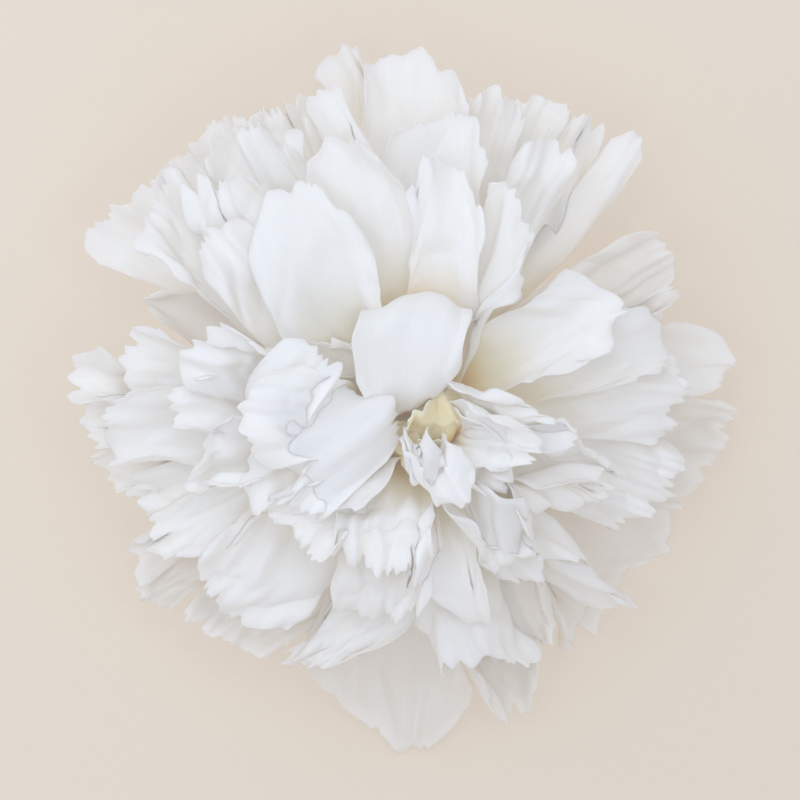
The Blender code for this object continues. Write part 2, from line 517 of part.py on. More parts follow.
def settle(nodes):
    """Shift all nodes so that the middle of their underside is at the origin."""
    corners = np.array([vert.co for node in nodes for vert in node.data.vertices])
    low, high = corners.min(axis=0), corners.max(axis=0)
    shift = Vector((-(low[0] + high[0]) / 2, -(low[1] + high[1]) / 2, -low[2]))
    for node in nodes:
        node.data.transform(Matrix.Translation(shift))


def main():
    """Build the flower's nodes."""
    for old in list(bpy.data.objects):
        bpy.data.objects.remove(old)
    petals = build_petals()
    calyx = build_calyx()
    bracts = build_bracts()
    stem = turned("stem", STEM_OUTLINE, 32)
    pistil = build_pistil()
    finish(petals, (0.86, 0.87, 0.88), 0.55)
    finish(calyx, (0.27, 0.38, 0.20), 0.50)
    finish(bracts, (0.33, 0.42, 0.22), 0.55)
    finish(stem, (0.30, 0.40, 0.20), 0.50)
    finish(pistil, (0.82, 0.80, 0.62), 0.50)
    settle((petals, calyx, bracts, stem, pistil))


if __name__ == "__main__":
    main()
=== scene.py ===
"""Head of a cut white carnation, lying face up on a pale surface and seen from straight above.

Lengths are in metres and angles in degrees. The flower's axis leans from the vertical. X is to the right
and Y to the top of the picture, and Z is up from the surface.
"""

import logging
import math
from dataclasses import dataclass, field
from enum import Enum
from typing import NamedTuple

import bmesh
import bpy
import numpy as np
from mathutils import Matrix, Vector


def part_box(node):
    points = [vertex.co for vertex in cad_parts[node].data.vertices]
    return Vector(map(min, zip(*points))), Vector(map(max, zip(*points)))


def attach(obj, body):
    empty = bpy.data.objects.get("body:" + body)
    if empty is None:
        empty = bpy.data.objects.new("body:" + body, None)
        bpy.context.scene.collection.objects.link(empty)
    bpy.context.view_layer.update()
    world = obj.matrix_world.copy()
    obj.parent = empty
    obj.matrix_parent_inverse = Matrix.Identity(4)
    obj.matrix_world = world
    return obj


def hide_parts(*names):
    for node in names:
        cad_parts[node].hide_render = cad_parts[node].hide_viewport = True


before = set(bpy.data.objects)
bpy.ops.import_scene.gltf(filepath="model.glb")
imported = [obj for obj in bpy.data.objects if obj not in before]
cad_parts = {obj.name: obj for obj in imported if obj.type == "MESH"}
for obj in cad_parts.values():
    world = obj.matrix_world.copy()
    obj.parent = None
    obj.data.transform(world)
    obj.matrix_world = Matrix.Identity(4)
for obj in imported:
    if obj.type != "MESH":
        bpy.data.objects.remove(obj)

LOG = logging.getLogger("carnation")

Grid = np.ndarray
Piece = bpy.types.Object
Socket = bpy.types.NodeSocket
Colour = tuple[float, float, float]
Stops = tuple[tuple[float, Colour], ...]
Outline = tuple[tuple[float, ...], ...]

# Lean of the flower's axis, and the way it leans
LEAN_ANGLE = 18.0
LEAN_BEARING = -57.0

# Heights along the axis from the throat, which is the mouth of the calyx, and radii
CUT_END = -0.0245
STEM_SHOULDER = -0.0206
STEM_RADIUS = 0.002
CLAWS_TOP = 0.0015
CLAWS_RADIUS = 0.0052
CLAW_HALF_WIDTH = 0.0008
CLAW_SINK = 0.0035

# Dome over the bloom, from which the petals' heights are measured along the axis
DOME_HEIGHT = 0.022
DOME_FALL = 0.026
DOME_REACH = 0.04
DOME_CENTRE = (0.002, -0.003)

# Seed of the petals' waves, where their pleats start, how early their sides widen, how high they buckle
# and how far their margin is let out
WAVE_SEED = 7
PLEAT_START = 0.3
SHOULDER = 0.42
BUCKLE = 0.0016
SPREAD = 0.001


def mm(lengths: tuple[float, ...]) -> tuple[float, ...]:
    """Lengths given in millimetres, in metres."""
    return tuple(0.001 * length for length in lengths)


def outline(*points: tuple[float, ...]) -> Outline:
    """An outline's points given in millimetres, in metres."""
    return tuple(map(mm, points))


class Petal(NamedTuple):
    """One petal. Three points of its margin are seen from above, each with its height over the dome.

    Attributes:
        root: bearing of its claw on the throat.
        ring: share of the claws' radius where it stands.
        first: clockwise end of the margin.
        middle: middle of the margin.
        last: counterclockwise end of the margin.
        bearing: the way the blade runs at the middle of the margin.
        fan: how far that turns towards each end.
        lean: rise of the blade at the margin.
        rise: how far it runs up the axis before it bends out.
        swing: height of the pleats.
        waves: pleats over the whole margin.
        handle: how far back from the margin it still runs that way, as a share of its length.
        splay: how far its claw leans out from the axis.
        crown: share of the rise by which the sides stay below the middle.
    """

    root: float
    ring: float
    first: tuple[float, ...]
    middle: tuple[float, ...]
    last: tuple[float, ...]
    bearing: float
    fan: float
    lean: float
    rise: float
    swing: float
    waves: float
    handle: float = 0.42
    splay: float = 11.0
    crown: float = 0.25


def petals(*rows: tuple) -> tuple[Petal, ...]:
    """Petals from rows of their numbers, in the order of the fields.

    Args:
        rows: one for each petal, with its margin's points, its rise and its swing in millimetres.
    Returns:
        The petals, in metres.
    """
    return tuple(Petal(*row[:2], *map(mm, row[2:5]), *row[5:8], *mm(row[8:10]), *row[10:]) for row in rows)


# Outer petals, which spread to the bloom's edge
OUTER = petals(
    (88, 0.95, (9, 35.4, -2), (1.5, 38.4, -4), (-4.8, 38, -2), 91, 10, -12, 10, 0.8, 1.2),
    (104, 0.95, (-3.6, 39.9, -10), (-5.8, 40.4, -10), (-8.8, 37.2, -9), 103, 2, -10, 14.5, 0.6, 1),
    (113, 0.95, (-9.4, 34.2, -5), (-14, 32.7, -6), (-20, 30.8, -6), 113, 5, -14, 10, 1.2, 2.2),
    (127, 0.95, (-16.6, 31.8, -8), (-23, 29.7, -8), (-28.4, 25, -8), 127, 5, -14, 10, 1.2, 2.4),
    (142, 0.95, (-27.4, 26.4, -6), (-32.4, 21.8, -7), (-36.3, 16.4, -5), 144, 19, -8, 9, 1, 1.5, 0.6),
    (174, 0.95, (-35.4, 3.8, -3), (-37.4, 2.4, -6), (-36.6, 0.6, -2), 176, 1, -6, 9, 0.6, 1),
    (182, 0.95, (-34.8, 0.4, -6), (-35.4, -3, -7), (-34, -5.5, -6), 184, 3, -12, 9, 1.2, 2.4),
    (194, 0.95, (-34.8, -5, -9), (-33.6, -8.4, -10), (-29.6, -9.8, -9), 194, 3, -14, 9, 1, 1.8),
    (214, 0.95, (-29, -17.4, -10), (-30.2, -21, -11), (-27, -24.2, -11), 214, 4, -16, 9, 1.4, 2.6),
    (234, 0.95, (-25, -25.2, -9), (-19.6, -27.4, -9), (-11.4, -29, -10), 234, 4, -16, 9, 1.2, 2.6),
    (269, 0.95, (-10.8, -31, -9), (-0.4, -39.6, -12.1), (6.8, -36, -9), 269, 7, -22, 10, 0.6, 1),
    (302, 0.95, (12, -33, -9), (16.4, -27, -9), (17.4, -21, -9), 301, 5, -18, 9, 0.8, 1.2),
    (319, 0.95, (20.2, -24.2, -13), (21.8, -27.2, -14), (24.4, -24.2, -13), 312, 3, -24, 9, 0.8, 1.2),
    (330, 0.95, (25.5, -22, -15.6), (29.8, -17, -18.4), (31.6, -12, -15), 331, 4, -24, 10, 1, 1.8),
    (350, 0.95, (32.4, -12.8, -11), (36.8, -6.5, -11), (37.2, 1, -10), 351, 5, -12, 9, 1.2, 3.2),
    (7, 0.95, (36.8, 1.4, -7), (37.4, 5.2, -8), (32.8, 8.8, -6.5), 8, 3, -8, 9, 0.4, 1.2),
    (24, 0.95, (31.2, 9.2, -4), (30.8, 14.4, -5), (27.8, 20.2, -3), 26, 6, -6, 10, 2.4, 3.4),
    (49, 0.95, (27.6, 27.4, -2.5), (27.2, 29.4, -1), (24.2, 29.8, -3), 50, 0, 0, 11.8, 0.3, 1),
    (60, 0.95, (23.6, 29.8, -5), (19, 33.4, -6), (13.5, 34, -6), 60, 4, -8, 10, 2, 3.4),
    (73, 0.95, (14.5, 32.4, -5), (11, 34.6, -5), (7, 35, -5), 72, 4, -10, 10, 1.6, 2.6),
)

# Petals of the middle, which lie over the outer ones
MIDDLE = petals(
    (80, 0.75, (11, 27.5, -1), (5.5, 31.5, -2), (-1.5, 30, -1), 80, 6, -6, 12, 0.8, 1.5),
    (97, 0.8, (-6.9, 34.8, 1), (-8.4, 35, 1), (-10.6, 32.6, -2), 126, 1, -4, 12, 0.4, 1),
    (120, 0.75, (-12, 30.5, -2), (-17, 30.5, -3), (-23, 27.5, -3), 120, 5, -10, 12, 1.2, 2.2),
    (133, 0.75, (-25, 26.5, -2), (-28.6, 21.2, -2), (-30.3, 16.1, 0), 136, 17, -8, 12, 1.2, 2),
    (131, 0.65, (-15, 24.8, 1), (-20.5, 24.8, 1), (-25, 23.5, 0), 112, 4, -6, 14, 0.8, 1.5),
    (168, 0.8, (-29.5, 8.4, -2), (-30.5, 5, -5), (-30.5, 0.5, -5), 171, 14, -6, 10, 1, 2),
    (187, 0.75, (-30.5, 1, -3), (-33.2, -4, -4), (-31, -8.5, -3), 188, 4, -10, 11, 1, 1.5),
    (200, 0.8, (-30.2, -8, -6), (-29.4, -11.6, -6), (-27.2, -15.2, -6), 200, 3, -12, 10, 1.2, 2),
    (209, 0.7, (-28, -14, -4), (-28, -16.8, -4), (-22, -18.3, -3), 210, 4, -8, 11, 1.2, 2),
    (228, 0.7, (-23.4, -17.6, -4), (-19.5, -23.8, -2), (-13.5, -27.6, -4), 228, 7, -10, 12, 1, 1.5),
    (252, 0.75, (-14.6, -30.4, -4), (-9.5, -30.2, -5), (-3.5, -29.8, -4), 216, 4, -12, 11, 1.4, 2.4),
    (289, 0.8, (8, -33.8, -7), (13.2, -36.6, -8), (17.2, -31.2, -7), 290, 4, -14, 11, 1, 2.4),
    (284, 0.7, (4.5, -32, -5), (9.5, -28.8, -1), (16.8, -30.4, -4), 297, 7, -10, 12, 0.6, 1),
    (318, 0.75, (25, -23, -7), (26.2, -21.6, -7), (22.6, -17.6, -5), 348, 2, -10, 11, 0.6, 1.2, 0.55),
    (338, 0.8, (24.5, -15, -7), (30, -10.5, -6), (31.6, -5, -6), 338, 5, -8, 10, 2, 3.4),
    (358, 0.75, (31, -6, -3), (31.6, -0.5, -3), (31, 5, -4), 346, 5, -8, 12, 1.6, 2.4),
    (12, 0.7, (27.5, 2, -1), (30, 6.5, -2), (27.5, 10.2, -2), 12, 4, -6, 12, 1.2, 2),
    (28, 0.65, (20.5, 4.5, 2), (24.2, 9.5, 1), (20.5, 14.4, 2), 15, 5, -2, 13.5, 0.6, 1),
    (61, 0.75, (20.4, 26.2, -2), (18, 28.5, -1), (13.6, 29.4, -1), 61, 4, -2, 12, 1.4, 2),
    (47, 0.6, (13, 13, 0), (14.6, 19, 3), (11.8, 25, 2), 54, 5, 12, 14, 1, 1.6),
    (78, 0.6, (9.5, 20, 2), (5, 26, 2), (0.8, 25, 2), 92, 5, 0, 14, 1, 1.6),
    (100, 0.65, (0.5, 26, 1), (-5.5, 28.6, 1), (-11.5, 24.5, 0), 110, 5, -2, 14, 1.2, 2),
    (135, 0.6, (-4.5, 20, 1), (-11, 23.6, 1.6), (-17.4, 17, 1), 100, 5, -20, 14, 0.5, 1),
    (138, 0.65, (-15.6, 19.4, 0), (-20.4, 18.7, 1), (-23, 14.8, 1), 123, 4, -12, 13, 0.5, 1),
)

# Petals of the heart, round the hollow, and last a low one that fills the gap on the left
INNER = petals(
    (86, 0.6, (5.8, 1.6, -2), (0.2, -1.2, -5), (-4.9, 1.8, -3), 266, 12, -26, 30, 0.5, 1, 0.8, 48, 0.5),
    (205, 0.75, (-6.9, 3.9, -3), (-2.2, -0.9, -4), (-0.8, -6, -3), 28, 9, -22, 28, 0.6, 2, 0.8, 36),
    (168, 0.6, (-17, 5.2, 1), (-22.8, 7.2, 1), (-24, 1, 0), 168, 4, -6, 15, 0.8, 1.6),
    (184, 0.65, (-22.5, 4, -1), (-25.5, 0, -1), (-22, -4.5, -1), 184, 4, -8, 15, 1, 2),
    (203, 0.6, (-20.5, -3, 1), (-23.3, -9.4, -1), (-18, -10, 1), 204, 4, -8, 15, 1.2, 2.4),
    (236, 0.6, (-14.6, -12, 1), (-12, -15.4, 1), (-7, -17.6, 2), 236, 6, -8, 16, 1, 2),
    (264, 0.58, (-8, -16.8, 2), (-2.5, -18.9, 2), (3.8, -18.6, 2), 264, 6, -6, 16, 1.2, 2),
    (262, 0.65, (-7.5, -23.5, -1), (-2, -24.8, -2), (4.2, -22.3, 0), 262, 5, -10, 14, 1, 2),
    (292, 0.6, (4, -20, 1), (9.2, -25.2, -1), (10.8, -20.5, 1), 290, 3, -12, 14, 0.5, 1),
    (305, 0.6, (7.8, -16.5, 3), (11.5, -18.7, 0), (12.4, -13.3, 4), 304, 3, -6, 16, 0.5, 1),
    (317, 0.55, (13, -17.2, 1), (15.7, -16.5, 0), (14.6, -12.4, 3), 317, 2, -4, 15, 0.5, 1),
    (316, 0.65, (12, -20.8, -4), (17, -19.4, -4), (21, -17, -5), 318, 4, -8, 13, 1.2, 2),
    (336, 0.6, (15.5, -12.9, 0), (21.3, -11, -2), (24.8, -9.3, -2), 336, 4, -8, 14, 1, 2),
    (344, 0.6, (18, -9.6, 2), (24.2, -7.6, 0), (19, -3.4, 4), 342, 4, -6, 15, 1.6, 3),
    (352, 0.6, (19.2, -6, 2), (16.8, -2, 3), (11.2, 1, 1), 352, 5, 0, 15, 1, 2.2),
    (300, 0.58, (2.6, -8.2, 3), (5.8, -11.4, 3), (8.4, -8, 3), 300, 6, 4, 17, 0.8, 1.6),
    (318, 0.5, (-0.3, -2.8, -4), (3, -0.4, -4), (6.8, 0.8, -4), 110, 6, 5, 19, 0.6, 1.6, 0.28, 8),
    (235, 0.5, (-1.2, -2.2, -6), (1.2, -3.4, -5), (2.2, -6.2, -5), 40, 6, 5, 18, 0.5, 1.6, 0.28, 8),
    (280, 0.5, (2.4, -5.6, -3), (3.7, -4.3, -2), (5.6, -5.4, -3), 95, 4, 5, 19, 0.4, 1.2, 0.28, 8),
    (140, 0.5, (-4.5, 6.5, -7), (-9, 7, -8), (-11, 3.5, -7), 150, 4, -5, 14, 0.6, 1.4),
    (190, 0.75, (-13, 7, 0), (-9.4, 4.9, -1), (-6.9, 3.2, -2), 45, 8, -12, 26, 0.8, 1.5, 0.6, 34),
    (192, 0.8, (-13.8, 3, 3), (-17.4, -2, 3), (-14.4, -7.8, 3), 190, 8, -4, 19, 1.2, 2.4),
    (226, 0.65, (-16.4, -8, 1), (-16.2, -11.6, 0), (-11.4, -12, 2), 232, 4, -8, 16, 0.8, 1.5),
    (238, 0.5, (-12, -7.6, 0), (-11, -11.6, 0), (-4.2, -12.4, 1), 236, 6, -6, 16, 0.8, 1.6),
    (335, 0.55, (7.6, -10.2, 1), (11.4, -9.4, 1), (11.6, -3.4, 2), 330, 5, 0, 16, 0.8, 1.6),
    (292, 0.58, (1.8, -6.8, 2), (2.8, -9.2, 2), (4.8, -6.8, 2), 290, 4, 8, 17, 0.4, 1.2),
    (350, 0.5, (12.4, -7.4, 4), (15.4, -4.8, 4), (12.6, -0.6, 4), 348, 6, 6, 17, 1, 2),
    (160, 0.95, (-26.6, 13.2, -9), (-28.8, 11, -10), (-27, 8.6, -9), 158, 3, -12, 9, 0.6, 1.2),
)


def unit(vectors: Grid) -> Grid:
    """Vectors at their length of one."""
    return vectors / np.linalg.norm(vectors, axis=-1, keepdims=True)


def flower_axis() -> Grid:
    """The unit vector of the flower's axis."""
    lean = math.radians(LEAN_ANGLE)
    bearing = math.radians(LEAN_BEARING)
    flat = math.sin(lean)
    return np.array((flat * math.cos(bearing), flat * math.sin(bearing), math.cos(lean)))


AXIS = flower_axis()


def full_turn(count: int) -> Grid:
    """Angles evenly round one turn, as a column."""
    return np.linspace(0, math.tau, count, endpoint=False)[:, None]


def radial(bearing: float | Grid) -> Grid:
    """Unit vectors square to the axis that have these bearings seen from above."""
    turn = np.radians(np.asarray(bearing, dtype=float))
    x, y = np.cos(turn), np.sin(turn)
    return unit(np.stack((x, y, -(x * AXIS[0] + y * AXIS[1]) / AXIS[2]), axis=-1))


def stem_low_corner() -> Grid:
    """Lowest corner of the stem's box when the throat is at the origin, from its two end circles."""
    turn = full_turn(32)
    right = radial(0.0)
    circle = STEM_RADIUS * (np.cos(turn) * right + np.sin(turn) * np.cross(AXIS, right))
    ends = np.concatenate((circle + CUT_END * AXIS, circle + STEM_SHOULDER * AXIS))
    return ends.min(axis=0)


THROAT = np.array(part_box("stem")[0]) - stem_low_corner()


def over_dome(spot: tuple[float, ...]) -> Grid:
    """The point seen from above at a spot's x and y, at its height over the bloom's dome.

    Args:
        spot: x and y from the throat, and the height over the dome.
    Returns:
        The point in the world.
    """
    x, y, over = spot
    away = ((x - DOME_CENTRE[0]) ** 2 + (y - DOME_CENTRE[1]) ** 2) / DOME_REACH**2
    lift = DOME_HEIGHT - DOME_FALL * away + over
    return THROAT + np.array((x, y, (lift - x * AXIS[0] - y * AXIS[1]) / AXIS[2]))


class Draw(Enum):
    """What a petal's phases are drawn for, and how far its seed lies from the first."""

    PLEATS = 0
    LOBES = 500
    BUCKLES = 900
    CREASES = 1300
    NOTCHES = 1700
    TEETH = 2100


def draws(index: int, use: Draw, count: int) -> Grid:
    """Phases drawn for one petal and one use, always the same."""
    return np.random.default_rng(WAVE_SEED + index + use.value).uniform(0, math.tau, count)


def lobes(index: int, across: Grid) -> Grid:
    """Shallow lobes of a petal's margin, and its rounded ends, as a share of the margin's span."""
    phase = draws(index, Draw.LOBES, 3)
    wave = np.sin(3 * across + phase[0])
    wave += 0.7 * np.sin(7 * across + phase[1] + wave)
    wave += 0.5 * np.sin(13 * across + phase[2])
    return 0.045 * wave - 0.16 * across**6


def pleats(petal: Petal, index: int, across: Grid) -> Grid:
    """Height of the pleats across the blade, from about -1 to 1: three waves of rising pitch."""
    phase = draws(index, Draw.PLEATS, 3)
    turn = math.pi * petal.waves * across
    first = np.sin(turn + phase[0])
    second = np.sin(1.7 * turn + phase[1] + 0.8 * first)
    third = np.sin(3.1 * turn + phase[2])
    return 0.4 * (0.62 * first + 0.34 * second + 0.16 * third)


def buckles(index: int, x: Grid, y: Grid) -> Grid:
    """Broad soft buckles over a blade, from about -1 to 1, at x across it and y along it."""
    phase = draws(index, Draw.BUCKLES, 6)
    first = np.sin(330 * x + 150 * y + phase[0] + 1.3 * np.sin(240 * y + phase[1]))
    second = np.sin(430 * x - 350 * y + phase[2] + 1.3 * np.sin(280 * x + phase[3]))
    third = np.sin(610 * y + 250 * x + phase[4] + 1.6 * np.sin(520 * x + phase[5]))
    return 0.55 * first + 0.35 * second + 0.25 * third


def sheet_normals(points: Grid) -> Grid:
    """Unit normals of a grid of points, on the side that faces up the flower."""
    return unit(np.cross(np.gradient(points, axis=0), np.gradient(points, axis=1)))


@dataclass(frozen=True)
class MarginForm:
    """Sizes of one kind of margin, in metres.

    Attributes:
        tooth: depth of the small teeth.
        pitch: mean distance between them.
        notch: depth of the few deeper cuts.
        crumple: height of the creases behind it.
        frill: height of the short waves.
        wavelength: length of those waves.
        curl: how far the last stretch turns up or down.
    """

    tooth: float
    pitch: float
    notch: float
    crumple: float
    frill: float
    wavelength: float
    curl: float


class Margin(Enum):
    """How a petal's outer margin is cut and waved."""

    CUT = MarginForm(*mm((1.1, 1.5, 2.0, 0.7, 0.45, 5.0, 1.2)))
    FRILLED = MarginForm(*mm((1.1, 1.2, 2.2, 1.0, 0.7, 3.8, 1.2)))
    PLAIN = MarginForm(*mm((0.5, 2.0, 0.8, 0.3, 0.25, 7.5, 0.8)))


# Petals by number: those whose margin isn't simply cut, and those with a finish of their own
FRILLED_PETALS = {2, 3, 8, 18, 19, 22, 34, 48, 49, 50, 51, 53, 54, 56, 57, 58, 59, 67, 68, 70}
PLAIN_PETALS = {0, 1, 4, 10, 13, 15, 17, 20, 21, 41, 42, 44, 45, 52, 64, 65}
# The throat petals' gold is partly their own colour and partly painted warm shade deep in the hollow
THROAT_PETALS = {60, 61, 62}
# Painted light: the turned petals get a lighter copy of the petal finish, with little cream towards the claw
TURNED_PETALS = {44, 45, 64}
# Painted shade: the low petals at the lower right and in the gap on the left get a darker, greyer finish
PAINTED_SHADE_PETALS = {8, 9, 10, 11, 12, 13, 14, 16, 31, 71}

# Depths drawn for the teeth, the share of a tooth that is its long side, and the distance between notches
TOOTH_DRAWS = 61
TOOTH_SLANT = 0.62
NOTCH_PITCH = 0.0042

# Width that the petals' UV map takes in, height that the round pieces' takes in, and width of the thin margin
MAP_WIDTH = 0.08
MAP_HEIGHT = 0.04
THIN_WIDTH = 0.0016

# Steps round the bundle of claws, the calyx, the ring of bracts and the stub, and the ovary
CLAW_STEPS = 240
CALYX_STEPS = 350
STUB_STEPS = 96
OVARY_STEPS = 64


def ease(values: Grid, low: float, high: float) -> Grid:
    """Smooth step from 0 at low to 1 at high."""
    share = np.clip((values - low) / (high - low), 0, 1)
    return share * share * (3 - 2 * share)


@dataclass
class Blade:
    """One petal as a thin closed shell: its broad sheet, then teeth, short waves and a turned margin.

    Attributes:
        petal: its place and broad shape.
        index: its number in the whole flower, which sets its phases.
        margin: how its margin is cut.
        column: distance between the grid's columns at the margin, in metres.
        rows: number of the grid's rows from the claw to the margin.
        half: half the shell's thickness, in metres.
    """

    petal: Petal
    index: int
    margin: Margin
    column: float = 0.0002
    rows: int = 56
    half: float = 0.00014

    def sheet(self, across: Grid, along: Grid) -> Grid:
        """The petal's middle surface on a grid.

        Each line along the blade is a cubic curve from the claw to the margin, and the margin is a parabola
        through its three points, with lobes. Teeth shorten the line near the margin. Pleats, buckles,
        creases, short waves and the turned margin lift the surface along its normal. The creases are the
        size of one bent sine less that of another, which leaves sharp valleys and ridges.

        Args:
            across: places over the width, from -1 to 1.
            along: places from the claw, 0, to the margin, 1.
        Returns:
            Points in a grid with a row for each place along.
        """
        petal, index, form = self.petal, self.index, self.margin.value
        u, v = np.meshgrid(across, along)
        u, v = u[..., None], v[..., None]
        root = radial(petal.root)
        splay = math.radians(petal.splay)
        start = AXIS * math.cos(splay) + root * math.sin(splay)
        foot = THROAT + root * petal.ring * CLAWS_RADIUS + AXIS * (CLAWS_TOP - CLAW_SINK)
        broad = np.cross(AXIS, root)
        foot = foot + broad * CLAW_HALF_WIDTH * u
        ends = [over_dome(spot) for spot in (petal.first, petal.middle, petal.last)]
        edge = ends[1] * (1 - u**2) + ends[0] * (u**2 - u) / 2 + ends[2] * (u**2 + u) / 2
        lean = math.radians(petal.lean)
        run = radial(petal.bearing + petal.fan * u[..., 0]) * math.cos(lean) + AXIS * math.sin(lean)
        reach = np.linalg.norm(ends[1] - foot[0, 0])
        span = np.linalg.norm(ends[2] - ends[0])
        edge = edge + run * (span * lobes(index, u) + SPREAD)
        bend = edge - run * reach * petal.handle
        rise = foot + start * petal.rise * (1 - petal.crown * u**2) + broad * SHOULDER * span * u
        place = u * span / 2
        cut = self.cuts(place) / reach
        t = v * (1 - cut * ease(v, 0.55, 1.0))
        length = t * reach
        points = foot * (1 - t) ** 3 + rise * 3 * t * (1 - t) ** 2 + bend * 3 * t**2 * (1 - t) + edge * t**3
        swell = np.clip((t - PLEAT_START) / (1 - PLEAT_START), 0, 1)
        height = petal.swing * swell**2.4 * pleats(petal, index, u)
        height += BUCKLE * swell * buckles(index, place, length)
        phase = draws(index, Draw.CREASES, 10)
        valley = np.sin(520 * place + 210 * length + phase[5] + 1.5 * np.sin(480 * length + phase[6]))
        ridge = np.sin(460 * place - 330 * length + phase[7] + 1.5 * np.sin(430 * place + phase[8]))
        crumple = np.abs(valley) - np.abs(ridge)
        height += form.crumple * ease(t, 0.45, 0.95) * crumple
        pace = math.pi * place / form.wavelength
        ripple = np.sin(2 * pace + phase[0] + 1.2 * np.sin(310 * place + phase[1]))
        ripple += 0.3 * np.sin(5.1 * pace + phase[2] + 240 * length)
        height += form.frill * ease(t, 0.68, 1.0) * ripple
        turn = np.sin(260 * place + phase[3]) + 0.6 * np.sin(610 * place + phase[4])
        height += form.curl * ease(t, 0.86, 1.02) * turn
        return points + sheet_normals(points) * height

    def cuts(self, place: Grid) -> Grid:
        """How far the teeth and notches reach in from the margin, in metres, at a place over the width.

        The teeth are slanted triangles of uneven pitch, each with its own depth, and the notches are narrow
        wedges far apart, of which a few are deep.
        """
        form = self.margin.value
        phase = draws(self.index, Draw.NOTCHES, 4)
        share = np.sort(draws(self.index, Draw.TEETH, TOOTH_DRAWS) / math.tau)[::-1]
        share = share[np.arange(TOOTH_DRAWS) * 17 % TOOTH_DRAWS]
        step = place / form.pitch + phase[0] + 0.9 * np.sin(420 * place + phase[1])
        step += 0.5 * np.sin(1130 * place + phase[2])
        saw = step % 1
        tooth = np.where(saw < TOOTH_SLANT, saw / TOOTH_SLANT, (1 - saw) / (1 - TOOTH_SLANT))
        depth = 0.15 + 0.85 * share[np.floor(step).astype(int) % TOOTH_DRAWS]
        wide = place / NOTCH_PITCH + phase[3] + 0.9 * np.sin(230 * place + phase[1])
        notch = np.clip(1 - np.abs(wide % 1 - 0.5) / 0.2, 0, 1)
        few = share[np.floor(wide).astype(int) % TOOTH_DRAWS - 20] ** 2
        return form.tooth * tooth * depth + form.notch * notch * few

    def build(self) -> Piece:
        """The petal's mesh, with its width and length in a UV map."""
        petal = self.petal
        span = math.dist(petal.first[:2], petal.last[:2])
        across = np.linspace(-1, 1, max(24, round(span / self.column)))
        along = 1 - (1 - np.linspace(0, 1, self.rows)) ** 1.25
        points = self.sheet(across, along)
        points[..., 2] = np.maximum(points[..., 2], 2 * self.half)
        normals = sheet_normals(points)
        u, v = np.meshgrid(across, along)
        rim = np.minimum((1 - v) * 25, (1 - np.abs(u)) * span / THIN_WIDTH)
        half = self.half * (0.35 + 0.65 * np.clip(rim, 0, 1)[..., None])
        flat = np.stack((0.5 + u * span / MAP_WIDTH, v), axis=-1)
        return shell(f"petal_{self.index:02d}", points + normals * half, points - normals * half, flat)


def grid_faces(number: Grid) -> Grid:
    """Four-cornered faces between the rows and columns of a grid of vertex numbers."""
    corners = (number[:-1, :-1], number[:-1, 1:], number[1:, 1:], number[1:, :-1])
    return np.stack(corners, axis=-1).reshape(-1, 4)


def link(name: str, data: bpy.types.ID) -> Piece:
    """A new object with this data, linked to the scene."""
    made = bpy.data.objects.new(name, data)
    bpy.context.scene.collection.objects.link(made)
    return made


def make_piece(name: str, points: Grid, faces: Grid, flat: Grid) -> Piece:
    """A smooth closed mesh object, with its faces turned outward.

    Args:
        name: name of the object and its mesh.
        points: one point for each vertex.
        faces: four vertex numbers for each face.
        flat: UV place of each face's corners.
    Returns:
        The object, linked to the scene.
    """
    corners = points[faces]
    volume = np.einsum("ij,ij->", corners[:, 0], np.cross(corners[:, 1], corners[:, 2]))
    volume += np.einsum("ij,ij->", corners[:, 0], np.cross(corners[:, 2], corners[:, 3]))
    if volume < 0:
        faces, flat = faces[:, ::-1], flat[:, ::-1]
    mesh = bpy.data.meshes.new(name)
    mesh.vertices.add(len(points))
    mesh.vertices.foreach_set("co", points.ravel())
    mesh.loops.add(faces.size)
    mesh.loops.foreach_set("vertex_index", faces.ravel())
    mesh.polygons.add(len(faces))
    mesh.polygons.foreach_set("loop_start", np.arange(0, faces.size, 4))
    mesh.update(calc_edges=True)
    mesh.shade_smooth()
    layer = mesh.uv_layers.new(name="length")
    layer.uv.foreach_set("vector", flat.ravel())
    return link(name, mesh)


def shell(name: str, upper: Grid, lower: Grid, flat: Grid) -> Piece:
    """A closed thin shell between two grids of points, joined by a wall round their border.

    Args:
        name: name of the object.
        upper: points of the upper surface, in rows and columns.
        lower: points of the lower surface, likewise.
        flat: UV place of each point of a surface.
    Returns:
        The object.
    """
    rows, columns = upper.shape[:2]
    count = rows * columns
    number = np.arange(count).reshape(rows, columns)
    border = np.concatenate((number[0, :-1], number[:-1, -1], number[-1, :0:-1], number[:0:-1, 0]))
    ahead = np.roll(border, -1)
    wall = np.stack((ahead, border, border + count, ahead + count), axis=-1)
    faces = np.concatenate((grid_faces(number), grid_faces(number)[:, ::-1] + count, wall))
    points = np.concatenate((upper.reshape(-1, 3), lower.reshape(-1, 3)))
    return make_piece(name, points, faces, flat.reshape(-1, 2)[faces % count])


def on_axis(x: Grid, y: Grid, z: Grid) -> Grid:
    """Points given across and along the flower's axis, from the throat, in the world."""
    right = radial(0.0)
    ahead = np.cross(AXIS, right)
    x, y, z = (part[..., None] for part in np.broadcast_arrays(x, y, z))
    return THROAT + x * right + y * ahead + z * AXIS


def ring_piece(name: str, radius: Grid, height: Grid) -> Piece:
    """A closed solid round the flower's axis.

    Args:
        name: name of the object.
        radius: distance from the axis, a row for each turn and a column for each point of the profile.
        height: distance along the axis from the throat, likewise.
    Returns:
        The object.
    """
    turns = radius.shape[0]
    turn = full_turn(turns)
    points = on_axis(np.cos(turn) * radius, np.sin(turn) * radius, height)
    number = wrapped(np.arange(radius.size).reshape(radius.shape))
    share = np.broadcast_to(np.arange(turns + 1)[:, None] / turns, number.shape)
    return closed_piece(name, points, number, np.stack((share, 1 + wrapped(height) / MAP_HEIGHT), axis=-1))


